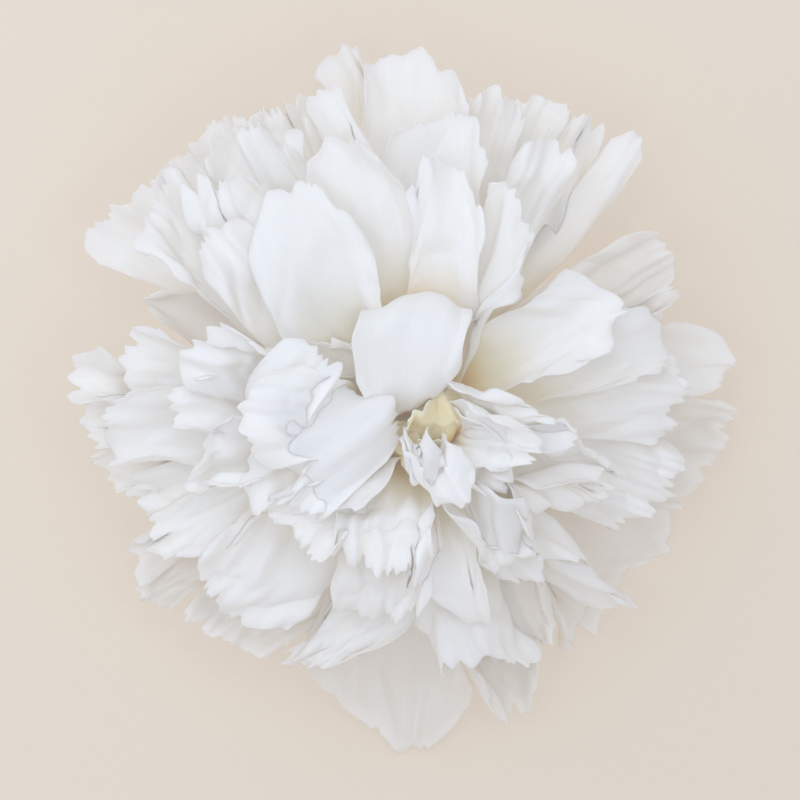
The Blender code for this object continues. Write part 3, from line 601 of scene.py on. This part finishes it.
def wrapped(grid: Grid) -> Grid:
    """A grid with its first row and first column repeated at its ends."""
    grid = np.concatenate((grid, grid[:1]))
    return np.concatenate((grid, grid[:, :1]), axis=1)


def tube(name: str, points: Grid) -> Piece:
    """A closed tube whose two end circles have shrunk to a point.

    Args:
        name: name of the object.
        points: a row for each stop along it, and a column for each place round it.
    Returns:
        The object.
    """
    stops, around = points.shape[:2]
    number = np.arange(stops * around).reshape(stops, around)
    number = np.concatenate((number, number[:, :1]), axis=1)
    share, length = np.meshgrid(np.linspace(0, 1, around + 1), np.linspace(0, 1, stops))
    return closed_piece(name, points, number, np.stack((share, length), axis=-1))


def closed_piece(name: str, points: Grid, number: Grid, flat: Grid) -> Piece:
    """A piece that comes round to itself, with its double points joined and no edge without a face.

    Args:
        name: name of the object.
        points: a grid of points.
        number: their numbers, with the first ones repeated where the grid comes round.
        flat: UV place of each number.
    Returns:
        The object.
    """
    corners = grid_faces(np.arange(number.size).reshape(number.shape))
    made = make_piece(name, points.reshape(-1, 3), number.ravel()[corners], flat.reshape(-1, 2)[corners])
    shape = bmesh.new()
    shape.from_mesh(made.data)
    bmesh.ops.remove_doubles(shape, verts=shape.verts, dist=1e-7)
    loose = [edge for edge in shape.edges if not edge.link_faces]
    bmesh.ops.delete(shape, geom=loose, context="EDGES")
    shape.to_mesh(made.data)
    shape.free()
    return made


class Graph:
    """The nodes of one material, each added with its settings in one call.

    Args:
        name: name of the material.
    """

    def __init__(self, name: str) -> None:
        """Start the material with its own shader and output."""
        self.material = bpy.data.materials.new(name)
        self.material.use_nodes = True
        self.nodes = self.material.node_tree.nodes
        self.shader = self.nodes["Principled BSDF"]

    def add(self, kind: str, inputs: dict | None = None, out: str | int = 0, **settings: object) -> Socket:
        """Add a node.

        Args:
            kind: its type, without the leading ShaderNode.
            inputs: socket names and their values, or the sockets that feed them.
            out: name or number of the output that is wanted.
            settings: its other properties.
        Returns:
            That output.
        """
        node = self.nodes.new(f"ShaderNode{kind}")
        for key, value in settings.items():
            setattr(node, key, value)
        self.feed(node, inputs or {})
        return node.outputs[out]

    def feed(self, node: bpy.types.Node, inputs: dict) -> None:
        """Set or link a node's input sockets by name or number."""
        for key, value in inputs.items():
            if isinstance(value, Socket):
                self.material.node_tree.links.new(value, node.inputs[key])
            else:
                node.inputs[key].default_value = value

    def noise(self, vector: Socket, scale: float, detail: float) -> Socket:
        """Soft noise from 0 to 1 over the places that a vector gives."""
        return self.add("TexNoise", {"Vector": vector, "Scale": scale, "Detail": detail})

    def finish(self, inputs: dict) -> bpy.types.Material:
        """The material, once these inputs of its shader are set or linked."""
        self.feed(self.shader, inputs)
        return self.material

    def ramp(self, factor: Socket, stops: Stops) -> Socket:
        """A colour ramp.

        Args:
            factor: the socket that drives it.
            stops: places from 0 to 1 with their colours.
        Returns:
            Its colour socket.
        """
        node = self.nodes.new("ShaderNodeValToRGB")
        self.feed(node, {"Fac": factor})
        elements = node.color_ramp.elements
        elements[0].position, elements[1].position = stops[0][0], stops[-1][0]
        for place, _ in stops[1:-1]:
            elements.new(place)
        for element, (_, colour) in zip(elements, stops):
            element.color = (*colour, 1.0)
        return node.outputs["Color"]

    def spread(self, value: Socket, low: float, high: float, start: float = 0.0, end: float = 1.0) -> Socket:
        """A value's run from start to end, spread evenly from low to high and held there outside it."""
        ends = {"From Min": start, "From Max": end, "To Min": low, "To Max": high}
        return self.add("MapRange", {"Value": value, **ends})


@dataclass(frozen=True)
class PetalFinish:
    """A thin, soft petal: warm white at the margin, cream and then golden towards its claw, with fine veins.
    The gold is partly the petal's own colour and partly painted warm shade deep in the hollow.

    Attributes:
        name: name of the material.
        blade: colour of the outer part.
        inner: colour between that and the claw.
        throat: colour of the claw, partly its own gold and partly painted warm shade deep in the hollow.
        rim: colour of the margin's edge, lighter than the blade: a painted highlight where the thin edge
            catches light.
        gold: how far from the claw its colour reaches, as a share of the petal's length.
        vein: share by which the veins darken the blade.
    """

    name: str
    blade: Colour = (0.972, 0.946, 0.908)
    inner: Colour = (0.97, 0.87, 0.7)
    throat: Colour = (0.94, 0.5, 0.09)
    rim: Colour = (0.99, 0.975, 0.95)
    gold: float = 0.2
    vein: float = 0.025

    def make(self) -> bpy.types.Material:
        """The material, on the petal's own width and length."""
        graph = Graph(self.name)
        length = graph.add("UVMap", uv_map="length")
        place = graph.add("TexCoord", out="Object")
        # Golden at the claw: partly the petal's own colour and partly painted warm shade deep in the hollow
        stops = ((0.0, self.throat), (self.gold, self.throat), (self.gold + 0.22, self.inner))
        # The lighter rim at the ramp's end is a painted highlight on the margin's edge
        stops = (*stops, (0.7, self.blade), (0.95, self.blade), (0.985, self.rim))
        base = graph.ramp(graph.add("SeparateXYZ", {"Vector": length}, "Y"), stops)
        lines = graph.add("Mapping", {"Vector": length, "Scale": (190.0, 5.0, 1.0)})
        veins = graph.noise(lines, 1.0, 3.0)
        clouds = graph.noise(place, 160.0, 4.0)
        crepe = graph.noise(place, 900.0, 3.0)
        tone = graph.spread(veins, 1.0 - self.vein, 1.0, 0.35, 0.65)
        both = graph.add("Math", {0: tone, 1: graph.spread(clouds, 0.96, 1.03)}, operation="MULTIPLY")
        colour = graph.add("VectorMath", {0: base, "Scale": both}, operation="SCALE")
        relief = graph.add("Math", {0: veins, 1: crepe}, operation="ADD")
        bump = graph.add("Bump", {"Height": relief, "Strength": 0.3, "Distance": 0.0001})
        face = {"Base Color": colour, "Roughness": graph.spread(crepe, 0.5, 0.68), "Normal": bump}
        soft = {"Subsurface Weight": 1.0, "Subsurface Radius": (1.0, 0.95, 0.85), "Subsurface Scale": 0.0006}
        return graph.finish({**face, **soft, "Specular IOR Level": 0.25, "Sheen Weight": 0.05})


class Layer(Enum):
    """The petals that share a finish, and the claws.

    The petals' finishes are lighter and darker copies of one finish that paint light and shade, and their
    gold towards the claw, like the claws' orange, is partly painted warm shade deep in the hollow.
    """

    # Painted shade: a darker, greyer copy of the petal finish, for petals that lie low in shadow
    PAINTED_SHADE = PetalFinish("painted_shade_petal", (0.8, 0.77, 0.74), (0.8, 0.755, 0.69), rim=(0.86, 0.84, 0.81))
    # Painted shade: a slightly darker copy of the petal finish, for the spread outer petals
    SPREAD = PetalFinish("spread_petal", (0.96, 0.93, 0.89))
    CROWN = PetalFinish("crown_petal")
    # The throat petals' gold is partly their own colour and partly painted warm shade deep in the hollow
    THROAT = PetalFinish(
        "throat_petal", (0.99, 0.79, 0.52), (0.98, 0.54, 0.12), rim=(0.99, 0.86, 0.64), gold=0.4
    )
    # Painted light: a lighter copy of the petal finish, for the heart
    HEART = PetalFinish("heart_petal", (0.982, 0.957, 0.92))
    # Painted light: a lighter copy, with little cream towards the claw, for the turned petals
    TURNED = PetalFinish("turned_petal", (0.982, 0.957, 0.92), (0.978, 0.945, 0.895))
    # The claws' orange is partly their own colour and partly painted warm shade at the bottom of the hollow
    CLAWS = PetalFinish("claw", (0.94, 0.44, 0.06), (0.94, 0.44, 0.06))


def petal_layer(index: int) -> Layer:
    """The layer of a petal, by its number."""
    if index in PAINTED_SHADE_PETALS:
        return Layer.PAINTED_SHADE
    if index < len(OUTER):
        return Layer.SPREAD
    if index < len(OUTER) + len(MIDDLE):
        return Layer.CROWN
    if index in THROAT_PETALS:
        return Layer.THROAT
    return Layer.TURNED if index in TURNED_PETALS else Layer.HEART


@dataclass(frozen=True)
class GreenFinish:
    """Waxy green leaf: long pale lines along the flower's axis, cloudy tone, and a bloom of wax.

    Attributes:
        name: name of the material.
        dark: colour between the lines.
        light: colour of the lines.
        lines: lines round the whole turn.
    """

    name: str
    dark: Colour
    light: Colour
    lines: float

    def make(self) -> bpy.types.Material:
        """The material, on the piece's own turn and height."""
        graph = Graph(self.name)
        length = graph.add("UVMap", uv_map="length")
        place = graph.add("TexCoord", out="Object")
        along = graph.add("Mapping", {"Vector": length, "Scale": (self.lines, 3.0, 1.0)})
        streaks = graph.noise(along, 1.0, 3.0)
        clouds = graph.noise(place, 420.0, 4.0)
        mixed = graph.add("Math", {0: streaks, 1: clouds}, operation="ADD")
        stops = ((0.0, self.dark), (1.0, self.light))
        colour = graph.ramp(graph.spread(mixed, 0.0, 1.0, 0.75, 1.25), stops)
        bump = graph.add("Bump", {"Height": mixed, "Strength": 0.5, "Distance": 0.0002})
        face = {"Base Color": colour, "Roughness": graph.spread(clouds, 0.38, 0.55), "Normal": bump}
        soft = {"Subsurface Weight": 0.15, "Subsurface Radius": (0.6, 1.0, 0.3), "Subsurface Scale": 0.0004}
        return graph.finish({**face, **soft})


@dataclass
class Bloom:
    """The petals, each on its narrow claw, and the bundle that their claws make in the calyx.

    Attributes:
        profile: radius and height of the claws' bundle, from its mouth down.
        bore: radius of the hollow in its middle.
        flutes: claws that show round the bundle.
    """

    profile: Outline = outline((5.2, 1.5), (5.0, -9.0), (4.3, -15.0), (3.0, -19.0))
    bore: float = 0.0024
    flutes: int = 20
    blades: list[Piece] = field(default_factory=list)
    bundle: Piece | None = None

    def build(self) -> None:
        """Make every petal, and the bundle of claws."""
        for index, petal in enumerate(OUTER + MIDDLE + INNER):
            margin = Margin.CUT
            if index in FRILLED_PETALS:
                margin = Margin.FRILLED
            elif index in PLAIN_PETALS:
                margin = Margin.PLAIN
            self.blades.append(Blade(petal, index, margin).build())
        self.bundle = self.build_bundle()

    def build_bundle(self) -> Piece:
        """The claws' bundle: a tube whose outside swells and sinks once for each claw."""
        radius, height = np.array(self.profile).T
        level = np.linspace(height[0], height[-1], 40)
        outer = np.interp(level, height[::-1], radius[::-1])
        turn = full_turn(CLAW_STEPS)
        groove = 0.00022 * (1 - np.abs(np.sin(turn * self.flutes / 2 + 30 * level)))
        down = np.linspace(height[-1], height[0], 12)
        inside = np.full((CLAW_STEPS, len(down)), self.bore) + 0.0001 * np.sin(turn * self.flutes)
        radii = np.concatenate((outer - groove, inside), axis=1)
        return ring_piece("claws", radii, np.tile(np.concatenate((level, down)), (CLAW_STEPS, 1)))

    def dress(self) -> None:
        """Give each petal its finish, and tie the petals and the bundle to their node."""
        materials = {layer: layer.value.make() for layer in Layer}
        for index, blade in enumerate(self.blades):
            dress(blade, materials[petal_layer(index)], "petals")
        dress(self.bundle, materials[Layer.CLAWS], "petals")


def dress(piece: Piece, material: bpy.types.Material, node: str) -> None:
    """Give a piece its material, and let it stand for a node of the frame.

    Args:
        piece: the finished piece.
        material: its finish.
        node: the node that it replaces.
    """
    piece.data.materials.append(material)
    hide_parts(node)
    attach(piece, "root")


@dataclass
class Calyx:
    """The green tube that holds the claws, with five pointed teeth.

    Attributes:
        profile: radius and height of its outside, from the foot to below the teeth.
        wall: thickness of the tube.
        floor: thickness of its floor.
        hole: radius of the hole for the stem.
        teeth: number of teeth.
        valley: height of the notches between them.
        tip: height of their points.
        flare: outward slope of the teeth.
        ribs: fine ribs round it.
    """

    profile: Outline = outline((3.4, -21.8), (4.5, -21), (5.3, -19), (6.0, -15), (6.3, -9), (6.4, -6))
    wall: float = 0.0008
    floor: float = 0.0009
    hole: float = 0.0023
    teeth: int = 5
    valley: float = -0.0068
    tip: float = -0.0024
    flare: float = 0.08
    ribs: int = 35
    tube: Piece | None = None

    def radius(self, height: Grid) -> Grid:
        """Outer radius at these heights: the outline, then a straight flare."""
        radius, level = np.array(self.profile).T
        return np.interp(height, level, radius) + np.clip(height - level[-1], 0, None) * self.flare

    def build(self) -> None:
        """The tube: up its outside to the toothed rim, down its inside, and over the floor to the hole.

        The rim's height is a triangle wave of the turn, and the ribs are a cosine of it.
        """
        turn = np.arange(CALYX_STEPS) / CALYX_STEPS
        wave = 1 - np.abs(2 * (turn * self.teeth % 1) - 1)
        top = self.valley + (self.tip - self.valley) * wave**1.25
        share = np.linspace(0, 1, 48)
        foot = self.profile[0][1]
        outside = foot + (top[:, None] - foot) * share
        inside = foot + self.floor + (top[:, None] - foot - self.floor) * share[::-1]
        base = np.tile((foot + self.floor, foot), (CALYX_STEPS, 1))
        rib = 0.00005 * np.cos(math.tau * self.ribs * turn)[:, None] * ease(share, 0.0, 0.1)
        hole = np.full(base.shape, self.hole)
        radii = (self.radius(outside) + rib, self.radius(inside) - self.wall, hole)
        levels = np.concatenate((outside, inside, base), axis=1)
        self.tube = ring_piece("calyx_tube", np.concatenate(radii, axis=1), levels)

    def dress(self) -> None:
        """Give the tube its green finish."""
        finish = GreenFinish("calyx_green", (0.2, 0.3, 0.13), (0.36, 0.46, 0.26), 70.0)
        dress(self.tube, finish.make(), "calyx")


@dataclass
class Bracts:
    """Two pairs of scales round the foot of the calyx, on a thin ring.

    Attributes:
        calyx: the tube that they lie along.
        heights: lengths of the scales.
        bearing: bearing of the first, the others a quarter turn on.
        half_angle: half the turn that a scale's foot takes up.
        gap: distance from the calyx.
        thickness: thickness of a scale.
        foot: height of their feet.
        ring: outline of the ring.
    """

    calyx: Calyx
    heights: tuple[float, ...] = mm((9.0, 7.0, 9.0, 7.0))
    bearing: float = 20.0
    half_angle: float = 38.0
    gap: float = 0.0003
    thickness: float = 0.0007
    foot: float = -0.0225
    ring: Outline = outline((2.3, -23.5), (3.4, -23.5), (4.3, -22.7), (4.3, -22.1), (2.3, -22.1))
    parts: list[Piece] = field(default_factory=list)

    def build(self) -> None:
        """The ring and the scales."""
        radius, height = (np.tile(side, (STUB_STEPS, 1)) for side in np.array(self.ring).T)
        self.parts.append(ring_piece("bract_ring", radius, height))
        for number, tall in enumerate(self.heights):
            self.parts.append(self.build_scale(number, tall))

    def build_scale(self, number: int, tall: float) -> Piece:
        """One scale: a leaf on the calyx's own curve, its width a root of the height, thin at its margin.

        Args:
            number: which of the scales it is, counted round.
            tall: its length up the calyx.
        Returns:
            The scale.
        """
        across, along = np.meshgrid(np.linspace(-1, 1, 48), np.linspace(0, 1, 48))
        height = self.foot + along * tall
        half = self.half_angle * np.sqrt(1 - 0.97 * along**2.4)
        turn = np.radians(self.bearing + 90 * number + across * half)
        near = self.calyx.radius(height) + self.gap + 0.0004 * along**2
        keel = self.thickness * (0.35 + 0.65 * (1 - np.abs(across) ** 2.5)) * (1 - 0.5 * along**3)
        far = near + keel + 0.00004 * np.cos(40 * across)
        lower = on_axis(np.cos(turn) * near, np.sin(turn) * near, height)
        upper = on_axis(np.cos(turn) * far, np.sin(turn) * far, height)
        flat = np.stack((0.5 + 0.4 * across, along), axis=-1)
        return shell(f"bract_scale_{number}", upper, lower, flat)

    def dress(self) -> None:
        """Give the ring and the scales one finish."""
        material = GreenFinish("bract_green", (0.25, 0.34, 0.16), (0.42, 0.5, 0.3), 30.0).make()
        for part in self.parts:
            dress(part, material, "bracts")


@dataclass
class Stem:
    """The stub of stem that is left on the head.

    Attributes:
        profile: radius and height of its profile, from the cut end up.
    """

    profile: Outline = outline(
        (0.0, -24.5), (1.7, -24.5), (2.0, -24.3), (2.0, -20.6), (1.6, -19.9), (0.8, -19.5), (0.0, -19.4)
    )
    stub: Piece | None = None

    def build(self) -> None:
        """The stub, turned from its profile, with low ridges along it."""
        radius, height = np.array(self.profile).T
        length = np.append(0, np.cumsum(np.hypot(np.diff(radius), np.diff(height))))
        stops = np.linspace(0, length[-1], 60)
        girth, level = np.interp(stops, length, radius), np.interp(stops, length, height)
        turn = full_turn(STUB_STEPS)
        ridge = 0.00003 * np.cos(14 * turn) * np.minimum(girth / 0.002, 1)
        self.stub = ring_piece("stem_stub", girth + ridge - 0.00003, np.tile(level, (STUB_STEPS, 1)))

    def dress(self) -> None:
        """Give the stub its green finish."""
        finish = GreenFinish("stem_green", (0.22, 0.31, 0.14), (0.38, 0.47, 0.27), 40.0)
        dress(self.stub, finish.make(), "stem")


@dataclass
class Pistil:
    """The ovary in the calyx, with its two short styles that curl over in the hollow of the heart.

    Attributes:
        profile: radius and height of the ovary.
        foot: height where the styles start.
        tips: where they end, across and along the axis.
        girth: radius of a style.
    """

    profile: Outline = outline(
        (0.0, -19.0), (1.0, -18.7), (1.5, -17.0), (1.5, -12.0), (0.9, -9.0), (0.5, -7.5), (0.0, -7.4)
    )
    foot: float = -0.01
    tips: Outline = outline((1.6, 1.0, 7.0), (-1.7, 0.8, 6.0))
    girth: float = 0.00045
    parts: list[Piece] = field(default_factory=list)

    def build(self) -> None:
        """The ovary and the styles."""
        radius, height = np.array(self.profile).T
        level = np.linspace(height[0], height[-1], 40)
        girth = np.interp(level, height, radius)
        girth = girth * (1 + 0.04 * np.cos(4 * full_turn(OVARY_STEPS)))
        self.parts.append(ring_piece("ovary", girth, np.tile(level, (OVARY_STEPS, 1))))
        for number, tip in enumerate(self.tips):
            self.parts.append(self.build_style(number, tip))

    def build_style(self, number: int, tip: tuple[float, ...]) -> Piece:
        """One style: a circle carried along a cubic curve up the axis and over, with fine fur-like swellings.

        Args:
            number: which style it is.
            tip: where it ends, across and along the axis.
        Returns:
            The style.
        """
        reach = math.hypot(tip[0], tip[1])
        side = np.array(tip[:2]) / reach
        t = np.linspace(0, 1, 90)[:, None]
        weights = np.concatenate(((1 - t) ** 3, 3 * t * (1 - t) ** 2, 3 * t**2 * (1 - t), t**3), axis=1)
        out = weights @ np.array((0.0003, 0.0002, 0.0, reach))
        up = weights @ np.array((self.foot, 0.004, tip[2], tip[2]))
        ahead = unit(np.gradient(np.stack((out, up), axis=1), axis=0))
        turn = full_turn(20)[:, 0]
        swell = 1 + 0.1 * np.sin(t * 260) * np.cos(5 * turn) * ease(t, 0.4, 0.6)
        girth = self.girth * np.sqrt(np.clip(1 - (2 * t - 1) ** 24, 0, 1)) * swell
        outward = out[:, None] + girth * np.cos(turn) * ahead[:, 1:]
        height = up[:, None] - girth * np.cos(turn) * ahead[:, :1]
        sideways = girth * np.sin(turn)
        x = outward * side[0] - sideways * side[1]
        y = outward * side[1] + sideways * side[0]
        points = on_axis(x, y, height)
        return tube(f"style_{number}", points)

    def dress(self) -> None:
        """Give the ovary and the styles their pale finish."""
        material = GreenFinish("pistil_cream", (0.88, 0.8, 0.55), (0.93, 0.9, 0.76), 20.0).make()
        for part in self.parts:
            dress(part, material, "pistil")


@dataclass
class Studio:
    """A pale floor, even light, a window at the upper left, four small lights and the camera straight above.

    Attributes:
        width: breadth of the floor.
        view_width: breadth that the picture takes in at the throat's height.
        lift: distance from the throat to the picture's middle.
        lens: focal length in millimetres.
        sky: colour of the even light.
        ambient: strength of the even light.
        daylight: colour of the window and the small lights.
        window: power of the window, in watts.
        window_place: where it is.
        window_size: its side.
        ring: power of each of the four small lights round the line of sight, in watts.
        ring_places: where they hang, as x and y.
        ring_height: how high they hang.
        ring_size: their side.
        haze: light that the bright set throws over the whole lens, which lifts the shadows.
    """

    width: float = 4.0
    view_width: float = 0.0914
    lift: float = 0.0914 / 800
    lens: float = 400.0
    sky: Colour = (0.875, 0.918, 1.0)
    ambient: float = 0.645
    daylight: Colour = (0.81, 0.895, 1.0)
    window: float = 2.55
    window_place: tuple[float, ...] = (-0.45, 0.48, 0.85)
    window_size: float = 0.9
    ring: float = 0.064
    ring_places: Outline = ((-0.07, 0.0), (0.07, 0.0), (0.0, -0.07), (0.0, 0.07))
    ring_height: float = 0.36
    ring_size: float = 0.045
    haze: Colour = (0.28, 0.225, 0.155)

    def build(self) -> None:
        """Set up the floor, the lights and the camera."""
        self.build_floor()
        self.build_lights()
        self.build_camera()

    def build_floor(self) -> None:
        """The floor at the height where the flower rests, with a fine paper grain.

        It glows with a painted light of its own, which fills in the flower's shadow on it, and the glow is
        stronger towards the upper left, a painted fall of the window's light.
        """
        half = self.width / 2
        corners = [(-half, -half, 0), (half, -half, 0), (half, half, 0), (-half, half, 0)]
        mesh = bpy.data.meshes.new("floor")
        mesh.from_pydata(corners, [], [(0, 1, 2, 3)])
        floor = link("floor", mesh)
        graph = Graph("paper")
        place = graph.add("TexCoord", out="Object")
        grain = graph.noise(place, 1400.0, 3.0)
        clouds = graph.noise(place, 18.0, 2.0)
        mixed = graph.add("Math", {0: grain, 1: clouds}, operation="ADD")
        stops = ((0.0, (0.36, 0.325, 0.275)), (1.0, (0.38, 0.345, 0.295)))
        colour = graph.ramp(graph.spread(mixed, 0.0, 1.0, 0.7, 1.3), stops)
        bump = graph.add("Bump", {"Height": grain, "Strength": 0.15, "Distance": 0.0001})
        # Painted light: the floor's glow fills in the flower's shadow and is stronger towards the upper left
        slant = graph.add("VectorMath", {0: place, 1: (-1.0, 1.0, 0.0)}, "Value", operation="DOT_PRODUCT")
        glow = {"Emission Strength": graph.spread(slant, 0.51, 0.59, -0.09, 0.09)}
        face = {"Base Color": colour, "Roughness": 0.9, "Normal": bump, "Specular IOR Level": 0.1}
        material = graph.finish({**face, **glow, "Emission Color": (0.7, 0.602, 0.54, 1.0)})
        mesh.materials.append(material)

    def build_lights(self) -> None:
        """Even light from all round, the window, and the small lights round the line of sight."""
        world = bpy.data.worlds.new("studio")
        world.use_nodes = True
        backdrop = world.node_tree.nodes["Background"]
        backdrop.inputs["Color"].default_value = (*self.sky, 1.0)
        backdrop.inputs["Strength"].default_value = self.ambient
        bpy.context.scene.world = world
        self.build_lamp("window", self.window_place, self.window_size, self.window)
        for number, (x, y) in enumerate(self.ring_places):
            self.build_lamp(f"ring_{number}", (x, y, self.ring_height), self.ring_size, self.ring)

    def build_lamp(self, name: str, place: tuple[float, ...], size: float, power: float) -> None:
        """One square light that faces the flower.

        Args:
            name: name of the light.
            place: where it hangs.
            size: its side.
            power: its power in watts.
        """
        light = bpy.data.lights.new(name, "AREA")
        light.shape = "SQUARE"
        light.size = size
        light.energy = power
        light.color = self.daylight
        lamp = link(name, light)
        lamp.location = place
        lamp.rotation_euler = (-lamp.location).to_track_quat("-Z", "Y").to_euler()

    def build_camera(self) -> None:
        """A long lens straight above the throat, with the top of the picture towards +Y, and its haze."""
        data = bpy.data.cameras.new("camera")
        data.lens = self.lens
        data.sensor_width = 36.0
        camera = link("camera", data)
        height = self.view_width * self.lens / data.sensor_width
        camera.location = Vector(THROAT) + Vector((0.0, self.lift, height))
        bpy.context.scene.camera = camera
        view = bpy.context.scene.view_settings
        view.view_transform = "Standard"
        view.use_curve_mapping = True
        view.curve_mapping.black_level = [-share for share in self.haze]
        view.curve_mapping.update()


def main() -> None:
    """Build and dress the flower and the studio."""
    logging.basicConfig(level=logging.INFO, format="%(name)s: %(message)s")
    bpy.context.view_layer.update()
    bloom = Bloom()
    calyx = Calyx()
    for part in (bloom, calyx, Bracts(calyx), Stem(), Pistil()):
        part.build()
        part.dress()
        LOG.info("%s built", type(part).__name__.lower())
    Studio().build()


if __name__ == "__main__":
    main()
